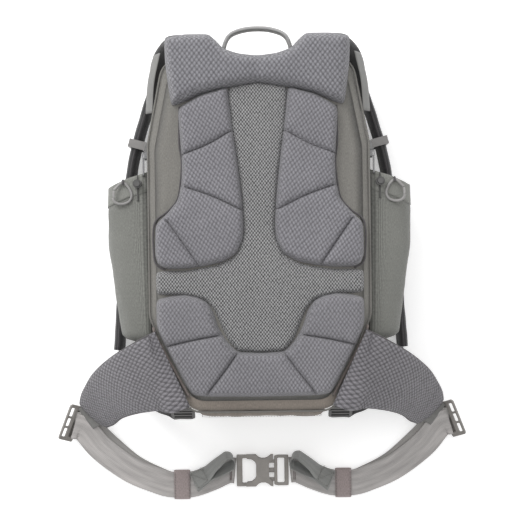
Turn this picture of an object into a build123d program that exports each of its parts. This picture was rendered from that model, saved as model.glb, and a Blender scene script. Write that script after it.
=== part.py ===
from build123d import *
import math
import os

os.makedirs("parts", exist_ok=True)

# Daypack lying on its front pockets. Millimetres. +Z points out of the back panel, +Y towards the
# haul handle, +X to the right as the back panel is looked at. The origin is on the flat face of the
# front pocket, midway between the pack's sides.

# ---- driving dimensions: the bag ----
bag_width = 300          # across the straight part of the sides
bag_base_width = 200     # across the base
bag_top_width = 256      # across the top
bag_base_y = -250        # base of the bag
bag_top_y = 229          # top of the bag
bag_depth = 118          # main compartment, front face to back face
bag_wall = 2.5           # fabric, lining and foam
waist_y = -120           # where the sides start to run in to the base
shoulder_y = 115         # where the sides start to run in to the top
front_pocket_depth = 58
front_pocket_width = 240
front_pocket_top_y = 20
top_pocket_width = 204
pocket_gap = 12          # between the two front pockets
pocket_wall = 1.6
sewn_gap = 0.4           # clearance between pieces sewn or laid on each other
base_panel_thick = 5

# ---- driving dimensions: the back panel ----
panel_width = 286
panel_base_y = -231
panel_top_y = 266
pad_thick = 20
lumbar_thick = 22
mesh_thick = 11
yoke_thick = 28
binding_width = 3
binding_thick = 5
frame_sheet_thick = 2
frame_sheet_width = 220
stay_width = 20
stay_thick = 3

# ---- driving dimensions: side pockets and what hangs on them ----
side_pocket_reach = 59   # how far a side pocket stands out from the bag's side
side_pocket_foot = 40    # the same at its lower end
side_pocket_wall = 2.5
side_pocket_top_y = 79
side_pocket_base_y = -155
side_pocket_clear = 8    # from the main compartment's front face
side_pocket_back_clear = 26      # from its back face, which leaves room for the zip
side_pocket_depth = bag_depth - side_pocket_clear - side_pocket_back_clear
ring_width = 28
ring_wire = 3.4
ring_off_hem = 31
ring_lift = 1.7          # so that its neck clears the pocket as it swings
ring_from_side = 8       # from the ring's outer edge to the pocket's outer side
lock_radius = 6
lock_height = 12
lock_button_radius = 4
lock_button_height = 4
lock_gap = 1             # from the ring to the cord lock beside it
lock_lift = 1
drawcord_diameter = 2.6
drawcord_tail = 18       # the free end below the lock
cord_gap = 0.5           # from the lock's barrel to each run of the cord

# ---- driving dimensions: shoulder straps ----
strap_width = 58
strap_thick = 16
strap_web = 25
web_thick = 1.8
slider_wall = 3
slider_length = 12
slider_clear = 1.0
lock_bar = 4             # bars of the lower ladder locks
lock_thick = 4
handle_span = 92
handle_rise = 42
handle_web = 25
handle_thick = 5
handle_foot_web = 7      # the webbing's width where it is gathered in to the seam
handle_foot_gap = 6      # from the hinge line at the seam
compression_web = 20

# ---- driving dimensions: hip belt ----
wing_thick = 14
wing_off_bag = 2         # from the bag's side to the wing's hinge line
wing_drop = 168          # from the hinge line to the belt's pivot
belt_pivot_z = 16.8      # height of that pivot over the resting face
belt_web = 38
belt_thick = 3.4         # two layers of webbing
buckle_length = 76
buckle_width = 47
buckle_thick = 12
buckle_wall = 2.8
buckle_bar = 5
buckle_clear = 0.5
prong_width = 5
belt_slider_length = 54
belt_slider_width = 24
belt_slider_thick = 4
keeper_length = 24
keeper_wall = 2.2
keeper_clear = 0.6
tab_width = 34
tab_loop_radius = 9
tab_layer = 2.2

# ---- driving dimensions: zips ----
zip_width = 7
zip_proud = 1.5
zip_slider_length = 12
zip_slider_thick = 4
zip_pull_length = 24
zip_pull_width = 7
zip_pull_thick = 2
zip_pull_gap = 0.6

# ---- heights of the layers, from the resting face up ----
bag_front_z = front_pocket_depth + sewn_gap
bag_back_z = bag_front_z + bag_depth
panel_z = bag_back_z + sewn_gap
bag_half = bag_width / 2
panel_half = panel_width / 2
panel_length = panel_top_y - panel_base_y


def save(node, shape):
    """Write one node's solids to its STEP file."""
    export_step(shape, os.path.join("parts", node + ".step"))


def polygon(points):
    """A flat face through the points, in the plane z = 0."""
    return make_face(Polyline(*[(x, y, 0) for x, y in points], close=True))


def plate(points, z_low, thickness):
    """A flat plate with the outline of the points."""
    return Pos(0, 0, z_low) * extrude(polygon(points), thickness)


def mirrored(points):
    """The outline's right half, given from top to base, closed by its mirror image."""
    return points + [(-x, y) for x, y in reversed(points) if x]


def on_panel(shares):
    """Points of the back panel, from shares of its half width and of its length from the base."""
    return [(u * panel_half, panel_base_y + v * panel_length) for u, v in shares]


def block(x, y, z):
    """A box from its low and high limits along each axis."""
    size = (x[1] - x[0], y[1] - y[0], z[1] - z[0])
    centre = ((x[0] + x[1]) / 2, (y[0] + y[1]) / 2, (z[0] + z[1]) / 2)
    return Pos(*centre) * Box(*size)


def sections(centres, across, width, thickness):
    """Rectangles square to a route, each as wide and thick as asked, turned to its across vector."""
    faces = []
    points = [Vector(*p) for p in centres]
    for i, (point, side) in enumerate(zip(points, across)):
        ahead = points[min(i + 1, len(points) - 1)] - points[max(i - 1, 0)]
        wide = width[i] if isinstance(width, list) else width
        normal = ahead.cross(Vector(*side)).normalized()
        level = normal.cross(ahead).normalized()
        if level.dot(Vector(*side)) < 0:
            level = level * -1
        half_wide = level * (wide / 2)
        half_thick = normal * (thickness / 2)
        corners = [
            point + half_wide + half_thick,
            point - half_wide + half_thick,
            point - half_wide - half_thick,
            point + half_wide - half_thick,
        ]
        faces.append(make_face(Polyline(*corners, close=True)))
    return faces


def band(centres, across, width, thickness):
    """A strap or webbing along a route, flat sided between its sections."""
    return loft(sections(centres, across, width, thickness), ruled=True)


def divided(rows, parts):
    """A route or its across vectors on a smooth curve, so that bends and twists are spread out."""
    rows = [Vector(*row) for row in rows]
    ends = [rows[0] * 2 - rows[1]] + rows + [rows[-1] * 2 - rows[-2]]
    finer = []
    for i in range(1, len(rows)):
        before, a, b, after = ends[i - 1:i + 3]
        for k in range(parts):
            t = k / parts
            curved = (before * 2 - a * 5 + b * 4 - after) * t ** 2 + (a * 3 - before - b * 3 + after) * t ** 3
            finer.append((a * 2 + (b - before) * t + curved) * 0.5)
    return finer + [rows[-1]]


def flipped(shape):
    """The same piece for the other side of the pack."""
    return mirror(shape, Plane.YZ)


def both(name, left):
    """Save a left piece and its mirror image."""
    save(name + "_left", left)
    save(name + "_right", flipped(left))


# ---- main bag: a hollow, closed shell ----
def bag_outline(inset):
    """The bag's outline, seen from the back, drawn in by the inset."""
    points = mirrored([
        (bag_top_width / 2 - inset, bag_top_y - inset),
        (bag_half - inset, shoulder_y),
        (bag_half - inset, waist_y),
        (bag_base_width / 2 - inset, bag_base_y + inset),
    ])
    return points


bag_corner = 26
bag_front_round = 18
bag_back_round = 9


def bag_block(inset, front_round, back_round):
    """The bag's rounded block, drawn in by the inset on every side."""
    face = fillet(polygon(bag_outline(inset)).vertices(), bag_corner - inset)
    solid = Pos(0, 0, bag_front_z + inset) * extrude(face, bag_depth - 2 * inset)
    solid = fillet(solid.faces().sort_by(Axis.Z)[0].edges(), front_round)
    return fillet(solid.faces().sort_by(Axis.Z)[-1].edges(), back_round)


bag_outer = bag_block(0, bag_front_round, bag_back_round)
bag_inner = bag_block(bag_wall, bag_front_round - bag_wall, bag_back_round - bag_wall)
save("main_bag", bag_outer - bag_inner)

# ---- base panel: the doubled cloth under the bag, and the cloth edge binding beside the pads ----
base_half = bag_base_width / 2 - bag_corner / 2
base_panel = block(
    (-base_half, base_half),
    (bag_base_y - base_panel_thick - sewn_gap, bag_base_y - sewn_gap),
    (bag_front_z + bag_front_round, bag_back_z - bag_back_round),
)
save("base_panel", fillet(base_panel.edges().filter_by(Axis.Z), base_panel_thick * 0.4))

# ---- front pockets: hollow shells that the pack lies on ----
pocket_corner = 22
pocket_edge = 8


def front_pocket_block(half, y_low, y_high, inset):
    """A rounded pocket block under the bag's front face, drawn in by the inset."""
    face = RectangleRounded(2 * (half - inset), y_high - y_low - 2 * inset, pocket_corner - inset)
    solid = extrude(face, front_pocket_depth - 2 * inset)
    solid = Pos(0, (y_low + y_high) / 2, inset) * solid
    return fillet(solid.faces().sort_by(Axis.Z)[0].edges(), pocket_edge - inset)


front_y = (bag_base_y + bag_corner, front_pocket_top_y)
top_y = (front_pocket_top_y + pocket_gap, bag_top_y - bag_corner)
front_half = front_pocket_width / 2
top_half = top_pocket_width / 2
for node, half, limits in (("front_pocket", front_half, front_y), ("top_pocket", top_half, top_y)):
    outer = front_pocket_block(half, *limits, 0)
    inner = front_pocket_block(half, *limits, pocket_wall)
    save(node, outer - inner)

# ---- frame sheet and stay: the stiffener in its sleeve inside the bag's back ----
sheet_high = bag_back_z - bag_wall - stay_thick - 2 * sewn_gap
sheet_y = (bag_base_y + bag_corner, bag_top_y - bag_corner)
frame_sheet = extrude(RectangleRounded(frame_sheet_width, sheet_y[1] - sheet_y[0], 30), frame_sheet_thick)
sheet_place = Pos(0, (sheet_y[0] + sheet_y[1]) / 2, sheet_high - frame_sheet_thick)
save("frame_sheet", sheet_place * frame_sheet)
stay = block(
    (-stay_width / 2, stay_width / 2),
    (sheet_y[0] + stay_width, sheet_y[1] - stay_width),
    (sheet_high + sewn_gap, sheet_high + sewn_gap + stay_thick),
)
save("frame_stay", fillet(stay.edges().filter_by(Axis.Z), stay_width * 0.45))

# ---- back panel: two upper pads, lumbar pad, yoke and the spacer mesh between them ----
upper_pad = [
    (0.76, 0.785), (0.72, 0.66), (0.74, 0.56), (0.87, 0.505), (1.00, 0.475), (1.00, 0.376),
    (0.94, 0.350), (0.70, 0.348), (0.36, 0.364), (0.21, 0.388), (0.14, 0.435), (0.14, 0.480),
    (0.18, 0.600), (0.24, 0.745), (0.28, 0.846), (0.54, 0.818),
]
lumbar_side = [
    (0.00, 0.123), (0.22, 0.123), (0.33, 0.157), (0.40, 0.191), (0.45, 0.239), (0.50, 0.266),
    (0.59, 0.282), (0.70, 0.288), (0.85, 0.284), (1.00, 0.274), (1.00, 0.185), (0.67, 0.010),
    (0.53, 0.003), (0.00, 0.000),
]
yoke_side = [
    (0.00, 0.936), (0.18, 0.942), (0.33, 0.958), (0.455, 0.998), (0.888, 0.988), (0.88, 0.913),
    (0.825, 0.793), (0.54, 0.825), (0.00, 0.857),
]


def spread(points, by):
    """The face of an outline, grown by a clearance."""
    return offset(polygon(points), by, kind=Kind.ARC)


right_pad = on_panel(upper_pad)
lumbar = mirrored(on_panel(lumbar_side))
yoke = mirrored(on_panel(yoke_side))
pad_face = polygon(right_pad) - spread(yoke, sewn_gap)
pad_right = Pos(0, 0, panel_z) * extrude(pad_face, pad_thick)
save("upper_pad_right", pad_right)
save("upper_pad_left", flipped(pad_right))
save("lumbar_pad", plate(lumbar, panel_z, lumbar_thick))
save("yoke", plate(yoke, panel_z, yoke_thick))

mesh_field = mirrored(on_panel([(0.30, 0.86), (0.30, 0.50), (1.00, 0.40), (1.00, 0.23), (0.50, 0.10)]))
mesh_face = polygon(mesh_field)
for outline in (right_pad, [(-x, y) for x, y in right_pad], lumbar, yoke):
    mesh_face = mesh_face - spread(outline, sewn_gap)
mesh_parts = mesh_face.faces().sort_by(SortBy.AREA)
save("air_mesh", Pos(0, 0, panel_z) * extrude(mesh_parts[-1], mesh_thick))

lumbar_edge = on_panel([(1.00, 0.185), (0.67, 0.010)])
edge_run = Vector(*lumbar_edge[1]) - Vector(*lumbar_edge[0])
edge_out = Vector(-edge_run.Y, edge_run.X).normalized()
if edge_out.X < 0:
    edge_out = edge_out * -1
strip = [
    Vector(*lumbar_edge[0]) + edge_out * sewn_gap,
    Vector(*lumbar_edge[1]) + edge_out * sewn_gap,
    Vector(*lumbar_edge[1]) + edge_out * (sewn_gap + binding_width),
    Vector(*lumbar_edge[0]) + edge_out * (sewn_gap + binding_width),
]
binding = plate([(p.X, p.Y) for p in strip], panel_z, binding_thick)
save("edge_binding", Compound(children=[binding, flipped(binding)]))

# ---- side pockets: open at the top, sewn to the bag's sides, which close them ----
pocket_x = bag_half + sewn_gap
pocket_front_z = bag_front_z + side_pocket_clear
pocket_back_z = pocket_front_z + side_pocket_depth
pocket_round = 22
hem_drop = 22            # how much lower the hem is at its outer corner


def side_pocket_block(inset, lip):
    """The right pocket's block, drawn in by the inset and run past the hem and seam by the lip."""
    outline = [
        (pocket_x - lip, side_pocket_top_y + lip),
        (pocket_x + side_pocket_reach * 0.5, side_pocket_top_y - hem_drop * 0.4 + lip),
        (pocket_x + side_pocket_reach - inset, side_pocket_top_y - hem_drop + lip),
        (pocket_x + side_pocket_reach - inset, side_pocket_top_y - hem_drop - 60),
        (pocket_x + side_pocket_foot - inset, side_pocket_base_y + inset),
        (pocket_x - lip, side_pocket_base_y + inset),
    ]
    solid = plate(outline, pocket_front_z + inset, side_pocket_depth - 2 * inset)
    outer_edges = solid.edges().filter_by(
        lambda e: e.center().X > pocket_x + side_pocket_foot * 0.6 and abs(e.tangent_at(0.5).Z) < 0.1
        and e.center().Y < side_pocket_top_y - hem_drop - 1
    )
    along = outer_edges.filter_by(lambda e: abs(e.tangent_at(0.5).Y) > 0.5)
    return fillet(along, pocket_round - inset)


side_pocket = side_pocket_block(0, 0) - side_pocket_block(side_pocket_wall, 10)
save("side_pocket_right", side_pocket)
save("side_pocket_left", flipped(side_pocket))

# ---- ring hook with a sprung gate, lying on each side pocket just under its hem ----
ring_centre_x = -(pocket_x + side_pocket_reach - ring_width / 2 - ring_from_side)
ring_centre_y = side_pocket_top_y - ring_off_hem
ring_low_z = pocket_back_z + ring_lift
ring_half = ring_width / 2
gate_start, gate_end = 150, 205
gate_play = 7            # angle left open at each end of the gate


def ring_arc(start, end, inner, outer, height):
    """A piece of the flat ring between two angles, in degrees."""
    disc = Circle(outer) - Circle(inner)
    far = 2 * outer
    wedge = [(0, 0)]
    steps = max(2, int((end - start) / 30) + 1)
    for i in range(steps + 1):
        angle = math.radians(start + (end - start) * i / steps)
        wedge.append((far * math.cos(angle), far * math.sin(angle)))
    arc = extrude(disc & polygon(wedge), height)
    return Pos(ring_centre_x, ring_centre_y, ring_low_z) * arc


hook_ring = ring_arc(gate_end, gate_start + 360, ring_half - ring_wire, ring_half, ring_wire)
neck_y = ring_centre_y + ring_half
hook_neck = block(
    (ring_centre_x - ring_wire, ring_centre_x + ring_wire),
    (neck_y - ring_wire * 0.7, neck_y + ring_wire),
    (ring_low_z, ring_low_z + ring_wire),
)
both("hook", hook_ring + hook_neck)
gate = ring_arc(gate_start + gate_play, gate_end - gate_play, ring_half - ring_wire * 0.9, ring_half - 0.2,
                ring_wire)
both("hook_gate", gate)

# ---- cord lock on the drawcord, which comes out of the hem, with its free end below ----
lock_x = ring_centre_x + ring_half + lock_radius + lock_gap
lock_y = ring_centre_y + ring_half
lock_low_z = pocket_back_z + lock_lift
barrel = Pos(lock_x, lock_y, lock_low_z + lock_height / 2) * Cylinder(lock_radius, lock_height)
well_depth = lock_button_height + 4
well = Pos(lock_x, lock_y, lock_low_z + lock_height - well_depth / 2) * Cylinder(lock_button_radius + 0.4,
                                                                                 well_depth)
both("cord_lock", barrel - well)
button_low = lock_low_z + lock_height - 4
button_height = 4 + lock_button_height
button = Pos(lock_x, lock_y, button_low + button_height / 2) * Cylinder(lock_button_radius, button_height)
both("cord_lock_button", button)
hem_slope = hem_drop * 0.4 / (side_pocket_reach * 0.5)
hem_y = side_pocket_top_y - (-lock_x - pocket_x) * hem_slope
cord_reach = lock_radius + cord_gap
cord_runs = []
for run_y in ((lock_y + cord_reach, hem_y - 1), (lock_y - cord_reach - drawcord_tail, lock_y - cord_reach)):
    cord_run = block(
        (lock_x - drawcord_diameter / 2, lock_x + drawcord_diameter / 2),
        run_y,
        (lock_low_z, lock_low_z + drawcord_diameter),
    )
    cord_run = fillet(cord_run.edges().filter_by(Axis.Y), drawcord_diameter * 0.45)
    cord_runs += [cord_run, flipped(cord_run)]
save("pocket_drawcords", Compound(children=cord_runs))

# ---- shoulder straps: over the bag's top, then on edge along its sides ----
strap_mid_z = strap_width / 2 + 6
strap_drop_y = bag_top_y + 27
strap_side_x = bag_half + 33
strap_route = [
    (-97, strap_drop_y, panel_z - 5),
    (-98, strap_drop_y + 1, panel_z - 32),
    (-108, strap_drop_y, panel_z - 66),
    (-124, strap_drop_y - 12, strap_mid_z + 38),
    (-(bag_top_width / 2 + 14), strap_drop_y - 42, strap_mid_z + 8),
    (-(bag_half + 12), shoulder_y + 52, strap_mid_z),
    (-strap_side_x, side_pocket_top_y + 8, strap_mid_z),
    (-(strap_side_x + 11), -20, strap_mid_z - 3),
    (-(strap_side_x + 17), -100, strap_mid_z - 4),
    (-(strap_side_x + 22), side_pocket_base_y - 16, strap_mid_z - 4),
]
strap_across = [
    (1, 0, 0), (1, 0, 0), (0.95, 0, -0.3), (0.7, 0, -0.7), (0.2, 0, -1),
    (0, 0, -1), (0, 0, -1), (0, 0, -1), (0, 0, -1), (0, 0, -1),
]
both("shoulder_strap", band(strap_route, strap_across, strap_width, strap_thick))

# sternum slider: a moulded sleeve round the strap, on its straight stretch
run_start = Vector(*strap_route[5])
run_end = Vector(*strap_route[6])
run = (run_end - run_start).normalized()
slider_mid = run_start + (run_end - run_start) * 0.55
sleeve_ends = [slider_mid - run * (slider_length / 2), slider_mid + run * (slider_length / 2)]
hole_ends = [slider_mid - run * slider_length, slider_mid + run * slider_length]
upright = [(0, 0, -1), (0, 0, -1)]
hole_width = strap_width + 2 * slider_clear
hole_thick = strap_thick + 2 * slider_clear
sleeve = band(sleeve_ends, upright, hole_width + 2 * slider_wall, hole_thick + 2 * slider_wall)
sleeve_hole = band(hole_ends, upright, hole_width, hole_thick)
both("sternum_slider", sleeve - sleeve_hole)

# load lifters, from the bag's shoulder to the strap beside the yoke
lifter_route = [
    (-(bag_half - 1), shoulder_y + 43, bag_back_z - 16),
    (-(bag_half - 4), shoulder_y + 85, bag_back_z - 18),
    (-(bag_top_width / 2 + 10), bag_top_y + 11, bag_back_z - 26),
]
lifter = band(lifter_route, [(0.5, 0, 0.86)] * 3, strap_web * 0.8, web_thick)
save("load_lifters", Compound(children=[lifter, flipped(lifter)]))

# ---- lower ladder locks, their anchor webs on the bag's base corners, and the strap tails ----
anchor_x = -(bag_base_width / 2 + 10)
anchor_y = bag_base_y - 9
anchor_z = bag_back_z - 66
lock_span = strap_web + 2 * lock_bar


def ladder_lock():
    """A two-window adjuster, flat, its bars along X, centred on the origin."""
    length = 3 * lock_bar + 2 * 6
    body = extrude(RectangleRounded(lock_span, length, lock_bar * 0.8), lock_thick)
    for side in (-1, 1):
        middle = side * (length - 2 * lock_bar) / 4 + side * lock_bar * 0.25
        window = Pos(0, middle, lock_thick / 2) * Box(strap_web, 6, 3 * lock_thick)
        body = body - window
    return body


lock_length = 3 * lock_bar + 2 * 6
lock_tilt = 62
lock_place = Location((anchor_x, anchor_y, anchor_z), (lock_tilt, 0, 0))
both("ladder_lock", lock_place * Pos(0, 0, -lock_thick / 2) * ladder_lock())
lock_dir = Vector(0, math.cos(math.radians(lock_tilt)), math.sin(math.radians(lock_tilt)))
lock_centre = Vector(anchor_x, anchor_y, anchor_z)
web_start = lock_centre + lock_dir * (lock_length / 2 + 0.6)
anchor_web = band([web_start, web_start + lock_dir * 10], [(1, 0, 0)] * 2, strap_web, web_thick)
save("anchor_webs", Compound(children=[anchor_web, flipped(anchor_web)]))
tail_start = lock_centre - lock_dir * (lock_length / 2 + 0.6)
strap_end = Vector(*strap_route[-1])
tail_route = [
    strap_end + Vector(0, -2, 0),
    strap_end + Vector(4, -32, 2),
    strap_end + Vector(24, -58, 5),
    strap_end + Vector(52, -76, 14),
    tail_start + Vector(-16, 8, -34),
    tail_start + Vector(-1, -2, -14),
    tail_start - lock_dir * 2,
]
tail_across = [
    (0, 0, 1), (0.3, 0.05, 0.95), (0.5, 0.35, 0.8), (0.65, 0.6, 0.45), (0.9, 0.4, 0), (1, 0, 0), (1, 0, 0),
]
both("strap_tail", band(divided(tail_route, 5), divided(tail_across, 5), strap_web, web_thick))

# ---- compression straps on the bag's sides, above the side pockets ----
compression = block(
    (bag_half + sewn_gap, bag_half + sewn_gap + web_thick),
    (side_pocket_top_y + 8, side_pocket_top_y + 8 + compression_web),
    (bag_front_z + bag_front_round, pocket_back_z - 4),
)
save("compression_straps", Compound(children=[compression, flipped(compression)]))

# ---- haul handle: webbing on edge, both ends sewn into the top seam ----
handle_z = bag_back_z - 27
handle_seam_y = bag_top_y + zip_proud + 1
handle_foot = handle_seam_y + handle_foot_gap
handle_rise_free = handle_rise - handle_foot_gap
handle_half = handle_span / 2
handle_route = [
    (-handle_half, handle_foot, handle_z),
    (-handle_half * 0.97, handle_foot + handle_rise_free * 0.40, handle_z),
    (-handle_half * 0.80, handle_foot + handle_rise_free * 0.76, handle_z),
    (-handle_half * 0.42, handle_foot + handle_rise_free * 0.95, handle_z),
    (0, handle_foot + handle_rise_free, handle_z),
]
handle_route += [(-x, y, z) for x, y, z in reversed(handle_route[:-1])]
handle_widths = [handle_web] * len(handle_route)
for near, width in ((0, handle_foot_web), (1, (handle_foot_web + handle_web) / 2)):
    handle_widths[near] = width
    handle_widths[-1 - near] = width
save("haul_handle", band(handle_route, [(0, 0, 1)] * len(handle_route), handle_widths, handle_thick))

# ---- hip wings: padded, drooping from the lumbar pad's sides to the belt sliders ----
wing_root_z = panel_z + 8
root_upper = Vector(-(bag_half + wing_off_bag), waist_y - 23, wing_root_z)
root_lower = Vector(-(bag_base_width / 2 + 7), bag_base_y + 3, wing_root_z)
root_middle = (root_upper + root_lower) * 0.5
hinge_line = (root_upper - root_lower).normalized()
wing_out = Vector(hinge_line.Y * -1, hinge_line.X, 0).normalized()
if wing_out.X > 0:
    wing_out = wing_out * -1
wing_down = hinge_line * -1
# each station: reach from the hinge line, drop, shift towards the base, width
wing_stations = [
    (5, 2, 0, 111), (27, 14, -4, 99), (62, 42, -1.5, 85), (97, 85, 11, 70), (122, 124, 22, 52), (136, 146, 28, 38),
]
drop_scale = (wing_root_z - belt_pivot_z) / wing_drop
wing_route = [
    root_middle + wing_out * reach - Vector(0, 0, drop * drop_scale) + wing_down * shift
    for reach, drop, shift, width in wing_stations
]
wing_widths = [station[3] for station in wing_stations]
wing_across = [tuple(hinge_line)] * len(wing_stations)
both("hip_wing", band(wing_route, wing_across, wing_widths, wing_thick))

# ---- belt: slider, doubled webbing, keeper, pull tab, and a side-release buckle ----
buckle_y = bag_base_y - 102
buckle_z = 10
belt_z = 6
belt_pivot = root_middle + wing_out * 156 - Vector(0, 0, wing_drop * drop_scale) + wing_down * 22
buckle_half = buckle_length / 2
web_end_x = -(buckle_half + 2)
belt_start = belt_pivot + Vector(5, -12, 0)
keeper_mid = Vector(-118, buckle_y - 21, belt_z)
belt_route = [
    belt_start,
    belt_start + Vector(24, -29, -8),
    belt_start + Vector(65, -60, -12),
    keeper_mid + Vector(-36, 7, 0.5),
    keeper_mid + Vector(-14, 1, 0),
    keeper_mid + Vector(14, 1, 0),
    keeper_mid + Vector(42, 10, 1),
    Vector(web_end_x - 12, buckle_y, buckle_z),
    Vector(web_end_x, buckle_y, buckle_z),
]
belt_across = [
    (0.4, 0.9, 0.2), (0.6, 0.8, 0), (0.5, 0.86, 0), (0.2, 1, 0), (0, 1, 0),
    (0, 1, 0), (-0.2, 1, 0), (0, 1, 0), (0, 1, 0),
]
both("belt_webbing", band(belt_route, belt_across, belt_web, belt_thick))

keeper_hole = (belt_web + 2 * keeper_clear, belt_thick + 2 * keeper_clear)
keeper_outer = (keeper_hole[0] + 2 * keeper_wall, keeper_hole[1] + 2 * keeper_wall)
keeper_place = keeper_mid + Vector(0, 1, 0)
keeper = Pos(*keeper_place) * (
    Box(keeper_length, *keeper_outer) - Box(2 * keeper_length, *keeper_hole)
)
both("belt_keeper", keeper)

slider_long = Vector(0.36, 0.93, 0).normalized()
slider_short = Vector(0.70, -0.27, -0.66)
slider_normal = slider_long.cross(slider_short).normalized()


def belt_slider():
    """A three-bar slider, flat, its bars along X, centred on the origin."""
    slot = (belt_slider_width - 3 * lock_bar) / 2
    body = extrude(RectangleRounded(belt_slider_length, belt_slider_width, lock_bar * 1.2), belt_slider_thick)
    for side in (-1, 1):
        window = Pos(0, side * (slot + lock_bar) / 2, belt_slider_thick / 2)
        body = body - window * Box(belt_web + 2, slot, 3 * belt_slider_thick)
    return Pos(0, 0, -belt_slider_thick / 2) * body


slider_centre = belt_start + Vector(-19, 11, 5)
slider_plane = Plane(origin=slider_centre, x_dir=slider_long, z_dir=slider_normal)
both("belt_slider", slider_plane.location * belt_slider())

# pull tab: the webbing's free end, folded back to a teardrop loop and standing on edge
tab_low_z = buckle_z + belt_thick / 2 + 1.5
tab_tail = Vector(keeper_mid.X + keeper_length / 2 + 6, buckle_y - 15)
tab_head = Vector(-(buckle_half + tab_loop_radius + 3), buckle_y + 16)
tab_run = (tab_head - tab_tail).normalized()
tab_side = Vector(-tab_run.Y, tab_run.X)
tab_fork = tab_tail + tab_run * 24


def teardrop(radius, tail_half):
    """The tab's outline seen from its edge: a round head that runs in to a doubled tail."""
    shape = polygon([
        tuple(tab_tail - tab_side * tail_half)[:2],
        tuple(tab_fork - tab_side * tail_half)[:2],
        tuple(tab_head - tab_side * radius)[:2],
        tuple(tab_head + tab_side * radius)[:2],
        tuple(tab_fork + tab_side * tail_half)[:2],
        tuple(tab_tail + tab_side * tail_half)[:2],
    ])
    return shape + Pos(tab_head.X, tab_head.Y) * Circle(radius)


tab_hole = polygon([
    tuple(tab_fork)[:2],
    tuple(tab_head - tab_side * (tab_loop_radius - tab_layer))[:2],
    tuple(tab_head + tab_side * (tab_loop_radius - tab_layer))[:2],
]) + Pos(tab_head.X, tab_head.Y) * Circle(tab_loop_radius - tab_layer)
tab_face = teardrop(tab_loop_radius, tab_layer) - tab_hole
both("pull_tab", Pos(0, 0, tab_low_z) * extrude(tab_face, tab_width))

# buckle: female half on the left strap, male half with its two sprung prongs on the right
mate_x = 16              # where the two halves meet
socket_back_x = -14
half_wide = buckle_width / 2
half_thick = buckle_thick / 2
rail = (buckle_width - belt_web) / 2
cavity_half = half_wide - rail - buckle_wall
cavity_thick = half_thick - buckle_wall


def centred(x, half_y, half_z, y=0):
    """A box between two X limits, centred on the buckle's axis or beside it."""
    return block(x, (buckle_y + y - half_y, buckle_y + y + half_y), (buckle_z - half_z, buckle_z + half_z))


window_x = (-buckle_half + buckle_bar, socket_back_x - 1)
female = centred((-buckle_half, mate_x), half_wide, half_thick)
female = fillet(female.edges().filter_by(Axis.Z), rail)
female = female - centred(window_x, belt_web / 2, buckle_thick)
female = female - centred((socket_back_x + buckle_wall, mate_x + 1), cavity_half, cavity_thick)
for side in (-1, 1):
    female = female - centred((-6, 8), rail + buckle_wall + 1, cavity_thick, side * half_wide)
save("buckle_female", female)

prong_root_x = mate_x + buckle_clear + 5
prong_y = cavity_half - buckle_clear - prong_width / 2
male = centred((mate_x + buckle_clear, buckle_half), half_wide - 1, half_thick - 1)
male = fillet(male.edges().filter_by(Axis.Z), rail)
male = male - centred((prong_root_x + 2, buckle_half - buckle_bar), belt_web / 2, buckle_thick)
tongue_half = prong_width * 0.7
male = male + centred((0, mate_x + buckle_clear + 1), tongue_half, cavity_thick - buckle_clear)
prong_well = prong_width / 2 + buckle_clear
for side in (-1, 1):
    male = male - centred((mate_x - 1, prong_root_x + buckle_clear), prong_well + 0.4, buckle_thick, side * prong_y)
save("buckle_male", male)
prong_tip_x = socket_back_x + buckle_wall + 2
for name, side in (("buckle_prong_upper", 1), ("buckle_prong_lower", -1)):
    prong = centred((prong_tip_x, prong_root_x), prong_width / 2, cavity_thick - buckle_clear, side * prong_y)
    save(name, fillet(prong.edges().filter_by(Axis.Z), 1.2))

# ---- zips: main zip round the bag's sides and top, one on each front pocket ----
zip_z = pocket_back_z + 3
zip_base_y = -60


def zip_strip(inner, outer, z_low, y_keep):
    """A raised strip between two outlines, kept above y_keep."""
    ring = Pos(0, 0, z_low) * extrude(outer - inner, zip_width)
    return ring - block((-400, 400), (-600, y_keep), (z_low - 5, z_low + zip_width + 5))


bag_face = fillet(polygon(bag_outline(0)).vertices(), bag_corner)
save("main_zip", zip_strip(offset(bag_face, sewn_gap * 0.5), offset(bag_face, zip_proud), zip_z, zip_base_y))
front_zip_z = front_pocket_depth * 0.62
for node, half, limits in (("front_zip", front_half, front_y), ("top_zip", top_half, top_y)):
    face = RectangleRounded(2 * half, limits[1] - limits[0], pocket_corner)
    face = Pos(0, (limits[0] + limits[1]) / 2) * face
    keep = limits[0] + pocket_corner + 8
    strip_solid = zip_strip(offset(face, sewn_gap * 0.5), offset(face, zip_proud), front_zip_z, keep)
    save(node, strip_solid)


def zip_slider(length, thick, width):
    """A zip slider, its run along Y, standing out along +X from x = 0, with a bridge for the pull."""
    body = block((0, thick), (-length / 2, length / 2), (-width / 2, width / 2))
    body = fillet(body.edges().filter_by(Axis.X), width * 0.3)
    bridge_out = thick + 3.4
    bridge = block((thick - 0.5, bridge_out), (-length * 0.32, length * 0.32), (-1.2, 1.2))
    gap = block((thick + 0.6, bridge_out - 1.2), (-length * 0.2, length * 0.2), (-2, 2))
    return body + (bridge - gap)


def zip_pull(length, width, thick):
    """A pull tab hanging towards -Y from a pin hole at the origin, beside the bridge."""
    tab = block((-thick / 2, thick / 2), (-length, -3.6), (-width / 2, width / 2))
    tab = fillet(tab.edges().filter_by(Axis.X), width * 0.3)
    for side in (-1, 1):
        near = side * (1.2 + zip_pull_gap)
        far = side * (width / 2 - 0.01)
        arm = block((-thick / 2, thick / 2), (-5, 0.9), (min(near, far), max(near, far)))
        tab = tab + arm
    return tab


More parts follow.
